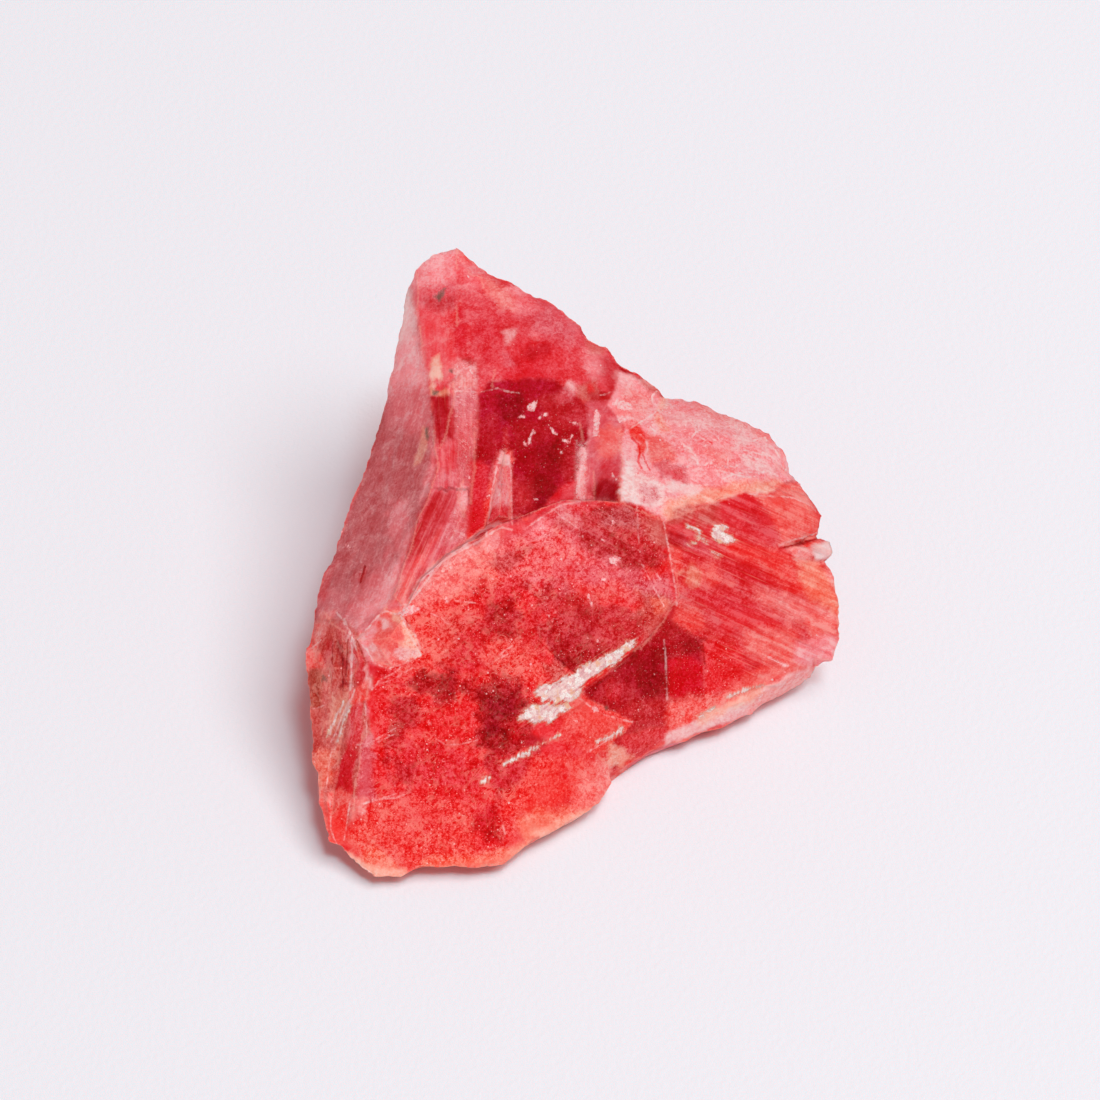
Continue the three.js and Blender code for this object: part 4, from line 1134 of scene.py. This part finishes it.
def stone_finish():
    """Red translucent stone: mottled depths, pale felt of fibres, striations, frost and veins."""
    finish = Finish("rhodonite")
    place, mix, tone = finish.place, finish.mix, tones(1)
    tint = finish.read("tint", "Color")
    red, green, _ = tint.apart(SPLIT_COLOUR)
    felt, frost, streak = finish.read("skin").apart()
    vein, flake, hair = finish.read("veins").apart()
    stain, dark, arris = finish.read("stains").apart()
    grain = finish.read("grain")
    field = {name: place.noise(name) for name in ("mottle", "fine", "grit", "ragged")}
    field.update(felt=felt, frost=frost, streak=streak, arris=arris)
    field["sugar"] = finish.total(place.shard(scale) * share for scale, share in SUGAR_SHARDS)
    field["streaks"] = grain.mapped(Scale=STREAK_GRAIN).noise("streaks")
    field["hairs"] = grain.mapped(Scale=HAIR_GRAIN).noise("hairs")
    fine, grit, hairs = field["fine"], field["grit"], field["hairs"]

    def blend(name):
        base, shares = BLENDS[name]
        return finish.total(field[key] * share for key, share in shares.items()) + base

    # How deep the light goes.
    wobble = finish.add("ShaderNodeTexNoise", out="Color", Vector=place)
    bent = finish.add("ShaderNodeVectorMath", wobble, (SHARD_BEND,) * 3, place,
                      operation="MULTIPLY_ADD")
    shards = finish.total(bent.shard(scale) for scale in INNER_SHARDS) - 1
    depth = shards * SHARD_DEPTH + felt * FELT_DEPTH + DEPTH_BASE
    for name, gate, gain, base in DEPTHS:
        depth += (field[name] - 0.5) * (field[gate] * gain + base)
    depth += blend("gloom").ease("gloom") * felt * red ** GLOOM_RED * GLOOM_DEPTH
    colour = tint.deepened(depth.math("MAXIMUM", depth, LEAST_DEPTH))

    # Felt: warm grains, curly threads and straight fibres.
    shard_tone = place.shard(TONE_SHARDS).ease("shard tone")
    warm = mix(SHARES["warm"], tint, mix(shard_tone, tone["coral"], tone["salmon"]))
    pale = mix(SHARES["pale"], tint, tone["peach"])
    thready = felt * green.ease("thready")
    broken = fine.ease("broken")
    patchy = place.noise("patchy").ease("patchy")
    grained = blend("grained").ease("grained") * thready
    colour = mix(grained * SHARES["grained"], colour, warm)
    for name, width in WEAVE_WIDTHS.items():
        weave = place.noise(name).line(width) * broken * thready
        colour = mix(weave * SHARES["weave"], colour, warm)
    fibres = None
    for turn, length, spacing in FIBRE_SETS:
        lie = place.mapped(Rotation=turn).mapped(Scale=(length, spacing, spacing))
        fibre = lie.noise("fibre").line(FIBRE_WIDTH)
        fibres = fibre if fibres is None else fibre.math("MAXIMUM", fibres, fibre)
    colour = mix(fibres * felt * thready * patchy * SHARES["fibres"], colour, pale)
    colour = mix(hairs.ease("strands") * streak * SHARES["strands"], colour, pale)

    # Frost: white curls, powder and specks. Arrises paler: partly wear, partly a painted highlight
    # over their shade.
    bright = mix(green.ease("bright"), tint, tone["chalk"])
    curls = place.noise("curls").line(CURL_WIDTH) * broken * patchy.ease("curl patches")
    colour = mix(curls * frost.ease("curl frost"), colour, bright)
    colour = mix(frost * blend("powder").ease("powder"), colour, tone["chalk"])
    cloudy = place.noise("cloudy").ease("cloudy") * felt.ease("speck felt")
    for spacing, size, strength in SPECK_SETS:
        specks = place.cells(spacing).ramp(size, size * SPECK_CORE) * cloudy
        colour = mix(specks * strength, colour, tone["chalk"])
    # paler arrises: partly wear, partly a painted highlight that lifts the dark line of their shade
    colour = mix(blend("wear_and_highlight").ease("wear_and_highlight"), colour, pale)

    # Veins, flakes, hairs, dark lines and stains, with ragged edges.
    wander = blend("wander")
    flake, hair, dark, stain = (
        (mark + wander * EDGES[name]).ease(name)
        for name, mark in (("flake", flake), ("hair", hair), ("dark", dark), ("stain", stain)))
    core = field["core"] = (vein + wander).ease("core")
    cream, *others = CREAM
    for shade, share in zip(others, (
            blend("blotch").ease("blotch"), place.shard(VEIN_SHARDS).ease("white grains"),
            grit.ease("rosy grit"), place.noise("rust").ease("rust"))):
        cream = mix(share, cream, shade)
    flake_tone = mix(fine.ease("flake tone"), tone["petal"], tone["chalk"])
    for share, shade in (
            ((vein + wander).ease("rim") * SHARES["rim"], tone["tan"]),
            (core * SHARES["core"], cream),
            (flake * fine.ease("flake breaks"), flake_tone),
            (hair * place.noise("hair breaks").ease("hair breaks"), bright),
            (dark * SHARES["dark"], tint.deepened(DARK_DEPTH)),
            (stain * SHARES["stain"], tone["moss"])):
        colour = mix(share, colour, shade)

    relief = finish.bump(blend("relief"), RELIEF)
    ridges = (field["streaks"] + hairs) * streak
    finish.shader.subsurface_method = "RANDOM_WALK"
    return finish.finished({
        "Base Color": colour,
        "Roughness": blend("roughness"),
        "Normal": finish.bump(ridges, RELIEF, Normal=relief),
        "Subsurface Weight": 0.3,
        "Subsurface Radius": (1.0, 0.08, 0.07),
        "Subsurface Scale": 0.8 * MM,
        "IOR": 1.6,
        "Specular IOR Level": 0.03,
    })


def crumb_finish():
    """Pale powdery chips of the stone."""
    finish = Finish("rhodonite_crumb")
    tone = tones(1)
    shade = finish.place.noise("crumb").ease("crumb")
    return finish.finished({
        "Base Color": finish.mix(shade, tone["petal"], tone["blush"]),
        "Normal": finish.bump(finish.place.noise("crumb tooth"), CRUMB_TOOTH),
        "Roughness": 0.6,
    })


def floor_finish(display_colour):
    """Matt white paper with a faint tooth and a few specks."""
    finish = Finish("floor_paper")
    paper = (*linear(255 * np.array(display_colour)).tolist(), 1.0)
    specks = finish.place.cells(PAPER_SPECKS).ease("paper specks") * PAPER_SPECK_SHARE
    return finish.finished({
        "Base Color": finish.mix(specks, paper, PAPER_SPECK_COLOUR),
        "Normal": finish.bump(finish.place.noise("paper tooth"), PAPER_TOOTH),
        "Roughness": 0.9,
        "Specular IOR Level": 0.15,
    })


# ---------------------------------------------------------------- settings

def number(name, description, default, **rest):
    return bpy.props.FloatProperty(name=name, description=description, default=default, **rest)


class StoneSettings(bpy.types.PropertyGroup):
    """Mesh sizes and relief of the stone's skin, in millimetres."""

    front_mesh: number("Front mesh", "Longest mesh edge on the detailed side", 0.262)
    back_mesh: number("Back mesh", "Longest mesh edge on the other sides", 0.50)
    line_mesh: number("Line mesh", "Longest mesh edge beside veins and fine lines", 0.12)
    rough_height: number("Roughness height", "Height of the fine roughness", 0.03)
    rough_spacing: number("Roughness spacing", "Spacing of the fine roughness", 1.3)
    ridge_height: number("Ridge height", "Height of the striations", 0.05)
    step_height: number("Step height", "Height of the small cleavage steps", 0.09)
    nick_depth: number("Nick depth", "Depth of the nicks along the arrises", 0.16)


class CrumbSettings(bpy.types.PropertyGroup):
    """The chips that cling to the stone."""

    density: number("Density", "Chips on a square centimetre", 45.0)
    smallest: number("Smallest", "Size of the smallest chips", 0.035 * MM, subtype="DISTANCE",
                     unit="LENGTH")
    largest: number("Largest", "Size of the largest chips", 0.15 * MM, subtype="DISTANCE",
                    unit="LENGTH")
    seed: bpy.props.IntProperty(name="Seed", description="Fixes where the chips lie", default=7)


class StageSettings(bpy.types.PropertyGroup):
    """Floor, lights and camera."""

    floor_colour: bpy.props.FloatVectorProperty(
        name="Floor colour", description="Display colour of the paper", subtype="COLOR_GAMMA",
        default=(0.735, 0.752, 0.764), min=0, max=1)
    key_strength: number("Key light", "Power of the soft key light", 5.9, unit="POWER")
    key_size: number("Key size", "Width of the key light", 0.70, unit="LENGTH")
    key_distance: number("Key distance", "How far off the lights hang", 1.0, unit="LENGTH")
    front_strength: number("Front light", "Power of the broad front light", 4.0, unit="POWER")
    front_size: number("Front size", "Width of the front light", 0.85, unit="LENGTH")
    floor_key: number("Floor key", "Power of the light that draws the stone's shadow", 10.3,
                      unit="POWER")
    floor_fill: number("Floor fill", "Strength of the even light on the floor alone", 1.4)
    floor_glow: number("Floor glow", "Strength of the red light on the floor alone", 1.0)
    sky_strength: number("Sky", "Strength of the even light all round", 0.35)
    floor_side: number("Floor side", "Side of the floor", 3.0, unit="LENGTH")


# ---------------------------------------------------------------- operators

CRUMBLY, CRUMBLY_FELT, CRUMBLY_ARRIS = 0.03, 0.4, 0.3
CRUMBLY_FROST = (0.2, 0.6)  # frost over which the skin grows fully crumbly
ARRIS_WIDTH = 0.6           # mm beside an arris that are crumblier
CLEAN_HEIGHT = 0.5          # mm above the floor that bear no chips
ARRIS_REACH = 2.0           # mm beside an arris that the finish tells apart


def put(context, name, data):
    """A new object in the scene."""
    made = bpy.data.objects.new(name, data)
    context.scene.collection.objects.link(made)
    return made


class RHODONITE_OT_stone(bpy.types.Operator):
    """Build the stone's finished skin over its solid"""

    bl_idname = "rhodonite.stone"
    bl_label = "Stone"

    def execute(self, context):
        settings = context.scene.rhodonite_stone
        bm = welded_skin(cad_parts[NODE])
        for turn in range(SPLIT_ROUNDS):
            if not split_long_edges(bm, settings):
                break
            if turn < SOFTEN_ROUNDS:
                soften(bm)
        skin = Skin(bm)
        hidden = ~skin.seen
        grain, streak = grain_of(skin)
        felt, frost = skin.layered(FELT), skin.layered(FROST)
        felt[hidden] = HIDDEN_FELT
        frost[hidden] = HIDDEN_FROST * smooth(*FROST_BAND, skin.lumps("frost"))[hidden]
        tint = tint_skin(skin)
        fields = {kind: marking(skin.sheet, kind) for kind in FINE_KINDS}
        for field in fields.values():
            field[hidden] = -FAR_OFF
        fields["vein"][hidden] = side_veins(skin)[hidden]
        veins, flakes, hairs, stains, darks = (
            np.clip(field / SHEET_SCALE, -1, 1) for field in fields.values())
        carve(skin, grain, streak, felt, settings)

        bmesh.ops.scale(bm, vec=(MM,) * 3, verts=bm.verts)
        mesh = bpy.data.meshes.new("stone")
        bm.to_mesh(mesh)
        bm.free()
        set_attribute(mesh, "tint", "FLOAT_COLOR", np.hstack((tint, np.ones((len(tint), 1)))))
        for name, vector in (
                ("skin", (felt, frost, streak)),
                ("grain", grain.T),
                ("veins", (veins, flakes, hairs)),
                ("stains", (stains, darks, np.minimum(skin.arris, ARRIS_REACH)))):
            set_attribute(mesh, name, "FLOAT_VECTOR", np.stack(vector, axis=1))
        crumbly = CRUMBLY + CRUMBLY_FELT * felt + smooth(*CRUMBLY_FROST, frost)
        crumbly += CRUMBLY_ARRIS * (skin.arris < ARRIS_WIDTH)
        crumbly *= skin.place[:, 2] > CLEAN_HEIGHT
        set_attribute(mesh, "crumbly", "FLOAT", crumbly)
        mesh.materials.append(stone_finish())
        stone = put(context, "stone", mesh)
        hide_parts(NODE)
        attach(stone, "root")
        return {"FINISHED"}


CRUMB_SOCKETS = {"Skin": "Geometry", "Density": "Float", "Smallest": "Float", "Largest": "Float",
                 "Seed": "Int"}
SQUARE_METRE = 1e4          # square centimetres
CRUMB_DENT = 0.35           # share of a chip's size by which its corners are moved
CRUMB_FLATTEST = 0.4        # least thickness of a chip against its width
CRUMB_RARITY = 4.0          # how rare the large chips are


def crumb_tree(material):
    """Geometry nodes that strew chips over a skin, thickest where its 'crumbly' value is high."""
    tree = bpy.data.node_groups.new("crumbs", "GeometryNodeTree")
    sockets = {}
    for name, kind in CRUMB_SOCKETS.items():
        made = tree.interface.new_socket(name, in_out="INPUT", socket_type="NodeSocket" + kind)
        sockets[name] = made.identifier
    tree.interface.new_socket("Crumbs", in_out="OUTPUT", socket_type="NodeSocketGeometry")
    graph = Graph(tree)
    given = {name: graph.add("NodeGroupInput", out=name) for name in sockets}

    def chance(low, high):
        """A random vector for each corner or chip."""
        return graph.add("FunctionNodeRandomValue", (low,) * 3, (high,) * 3,
                         data_type="FLOAT_VECTOR")

    crumbly = graph.add("GeometryNodeInputNamedAttribute", out="Attribute", Name="crumbly")
    points = graph.add("GeometryNodeDistributePointsOnFaces", out="Points", Mesh=given["Skin"],
                       Density=given["Density"] * crumbly, Seed=given["Seed"])
    chip = graph.add("GeometryNodeMeshIcoSphere", out="Mesh", Radius=1.0, Subdivisions=1)
    dented = graph.add("GeometryNodeSetPosition", Geometry=chip,
                       Offset=chance(-CRUMB_DENT, CRUMB_DENT))
    luck = graph.add("FunctionNodeRandomValue", out=1) ** CRUMB_RARITY
    size = graph.add("ShaderNodeMapRange", luck, 0.0, 1.0, given["Smallest"], given["Largest"])
    shape = graph.add("ShaderNodeVectorMath", chance(CRUMB_FLATTEST, 1.0), operation="SCALE",
                      Scale=size)
    laid = graph.add("GeometryNodeInstanceOnPoints", Points=points, Instance=dented,
                     Rotation=chance(0.0, math.tau), Scale=shape)
    real = graph.add("GeometryNodeRealizeInstances", Geometry=laid)
    finish = graph.add("GeometryNodeSetMaterial", Geometry=real, Material=material)
    graph.feed(tree.nodes.new("NodeGroupOutput").inputs[0], finish)
    return tree, sockets


class RHODONITE_OT_crumbs(bpy.types.Operator):
    """Strew small chips over the stone"""

    bl_idname = "rhodonite.crumbs"
    bl_label = "Crumbs"

    def execute(self, context):
        settings = context.scene.rhodonite_crumbs
        stone = bpy.data.objects.get("stone")
        if stone is None:
            raise RuntimeError("build the stone before its crumbs")
        carrier = put(context, "crumb_carrier", stone.data.copy())
        tree, sockets = crumb_tree(crumb_finish())
        modifier = carrier.modifiers.new("crumbs", "NODES")
        modifier.node_group = tree
        modifier[sockets["Density"]] = settings.density * SQUARE_METRE
        modifier[sockets["Smallest"]] = settings.smallest
        modifier[sockets["Largest"]] = settings.largest
        modifier[sockets["Seed"]] = settings.seed
        context.view_layer.update()
        graph = context.evaluated_depsgraph_get()
        mesh = bpy.data.meshes.new_from_object(carrier.evaluated_get(graph))
        bpy.data.objects.remove(carrier)
        mesh.name = "crumbs"
        crumbs = put(context, "crumbs", mesh)
        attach(crumbs, "root")
        return {"FINISHED"}


SKY_COLOUR = (1.0, 0.985, 1.0, 1)
KEY_TOWARD = (0.5, -0.15, 0.85)
FRONT_TOWARD = (-0.7, -0.75, 0.6)
FLOOR_KEY_TOWARD = (0.38, -0.14, 0.91)
FLOOR_FILL_TOWARD = (0.17, -0.30, 0.94)
FLOOR_FILL_SPREAD = math.radians(12)
FLOOR_FILL = (0.57, 0.93, 1.0)
FLOOR_GLOW = (1.0, 0.10, 0.10)  # red light that the stone lets through on to the floor
SENSOR_WIDTH = 36.0         # mm
CLIP = (0.01, 20)           # metres in front of the camera


def linked(name, piece, state):
    """A light-linking collection that takes in, or shuts out, one piece."""
    made = bpy.data.collections.new(name)
    made.objects.link(piece)
    made.collection_objects[0].light_linking.link_state = state
    return made


class RHODONITE_OT_stage(bpy.types.Operator):
    """Lay the floor, light the stone and set the camera"""

    bl_idname = "rhodonite.stage"
    bl_label = "Stage"

    def execute(self, context):
        settings = context.scene.rhodonite_stage
        floor = self.lay_floor(context, settings)
        self.light(context, settings, floor)
        self.aim_camera(context)
        context.scene.view_settings.view_transform = "Standard"
        return {"FINISHED"}

    def lay_floor(self, context, settings):
        half = settings.floor_side / 2
        mesh = bpy.data.meshes.new("floor")
        corners = [(x * half, y * half, 0) for x, y in ((-1, -1), (1, -1), (1, 1), (-1, 1))]
        mesh.from_pydata(corners, [], [(0, 1, 2, 3)])
        mesh.materials.append(floor_finish(settings.floor_colour))
        floor = put(context, "floor", mesh)
        floor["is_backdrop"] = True
        return floor

    def light(self, context, settings, floor):
        """Light the stone and the floor apart, so that the floor's shadow stays soft and rosy."""
        world = bpy.data.worlds.new("studio")
        world.use_nodes = True
        sky = world.node_tree.nodes["Background"]
        sky.inputs["Color"].default_value = SKY_COLOUR
        sky.inputs["Strength"].default_value = settings.sky_strength
        context.scene.world = world
        only_floor = linked("only_floor", floor, "INCLUDE")
        not_floor = linked("not_floor", floor, "EXCLUDE")
        key = {"shape": "DISK", "size": settings.key_size}
        front = {"shape": "DISK", "size": settings.front_size}
        fill = {"color": FLOOR_FILL, "angle": FLOOR_FILL_SPREAD}
        glow = {"color": FLOOR_GLOW}
        for name, kind, strength, toward, look, lit in (
                ("key", "AREA", settings.key_strength, KEY_TOWARD, key, not_floor),
                ("front", "AREA", settings.front_strength, FRONT_TOWARD, front, not_floor),
                ("floor_key", "AREA", settings.floor_key, FLOOR_KEY_TOWARD, key, only_floor),
                ("floor_fill", "SUN", settings.floor_fill, FLOOR_FILL_TOWARD, fill, only_floor),
                ("floor_glow", "SUN", settings.floor_glow, (0, 0, 1), glow, only_floor)):
            light = bpy.data.lights.new(name, kind)
            light.energy = strength
            for field, value in look.items():
                setattr(light, field, value)
            lamp = put(context, name, light)
            toward = Vector(toward).normalized()
            lamp.location = toward * settings.key_distance
            lamp.rotation_euler = toward.to_track_quat("Z", "Y").to_euler()
            lamp.light_linking.receiver_collection = lit
        lamp.light_linking.blocker_collection = only_floor  # nothing shades the glow

    def aim_camera(self, context):
        lens = bpy.data.cameras.new("camera")
        lens.sensor_width = SENSOR_WIDTH
        lens.lens = SENSOR_WIDTH * SHEET_FOCUS / SHEET_SIDE
        lens.clip_start, lens.clip_end = CLIP
        camera = put(context, "camera", lens)
        camera.location = Vector(SIGHT_EYE) * MM
        camera.rotation_euler = Vector(SIGHT_AHEAD).to_track_quat("-Z", "Y").to_euler()
        context.scene.camera = camera


class RHODONITE_PT_panel(bpy.types.Panel):
    """Settings and steps of the rough rhodonite"""

    bl_label = "Rough Rhodonite"
    bl_idname = "RHODONITE_PT_panel"
    bl_space_type = "VIEW_3D"
    bl_region_type = "UI"
    bl_category = "Rhodonite"

    def draw(self, context):
        for name, (settings, operator) in STEPS_OF_BUILD.items():
            box = self.layout.box()
            for field in settings.__annotations__:
                box.prop(getattr(context.scene, name), field)
            box.operator(operator.bl_idname)


STEPS_OF_BUILD = {
    "rhodonite_stone": (StoneSettings, RHODONITE_OT_stone),
    "rhodonite_crumbs": (CrumbSettings, RHODONITE_OT_crumbs),
    "rhodonite_stage": (StageSettings, RHODONITE_OT_stage),
}
CLASSES = (*(cls for pair in STEPS_OF_BUILD.values() for cls in pair), RHODONITE_PT_panel)


def register():
    for cls in CLASSES:
        bpy.utils.register_class(cls)
    for name, (settings, _) in STEPS_OF_BUILD.items():
        setattr(bpy.types.Scene, name, bpy.props.PointerProperty(type=settings))


def unregister():
    for name in STEPS_OF_BUILD:
        delattr(bpy.types.Scene, name)
    for cls in reversed(CLASSES):
        bpy.utils.unregister_class(cls)


def main():
    register()
    bpy.ops.rhodonite.stone()
    bpy.ops.rhodonite.crumbs()
    bpy.ops.rhodonite.stage()
    boxes = {"solid": solid_box, "visual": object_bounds()}
    {name: [list(corner) for corner in box] for name, box in boxes.items()}


if __name__ == "__main__":
    main()
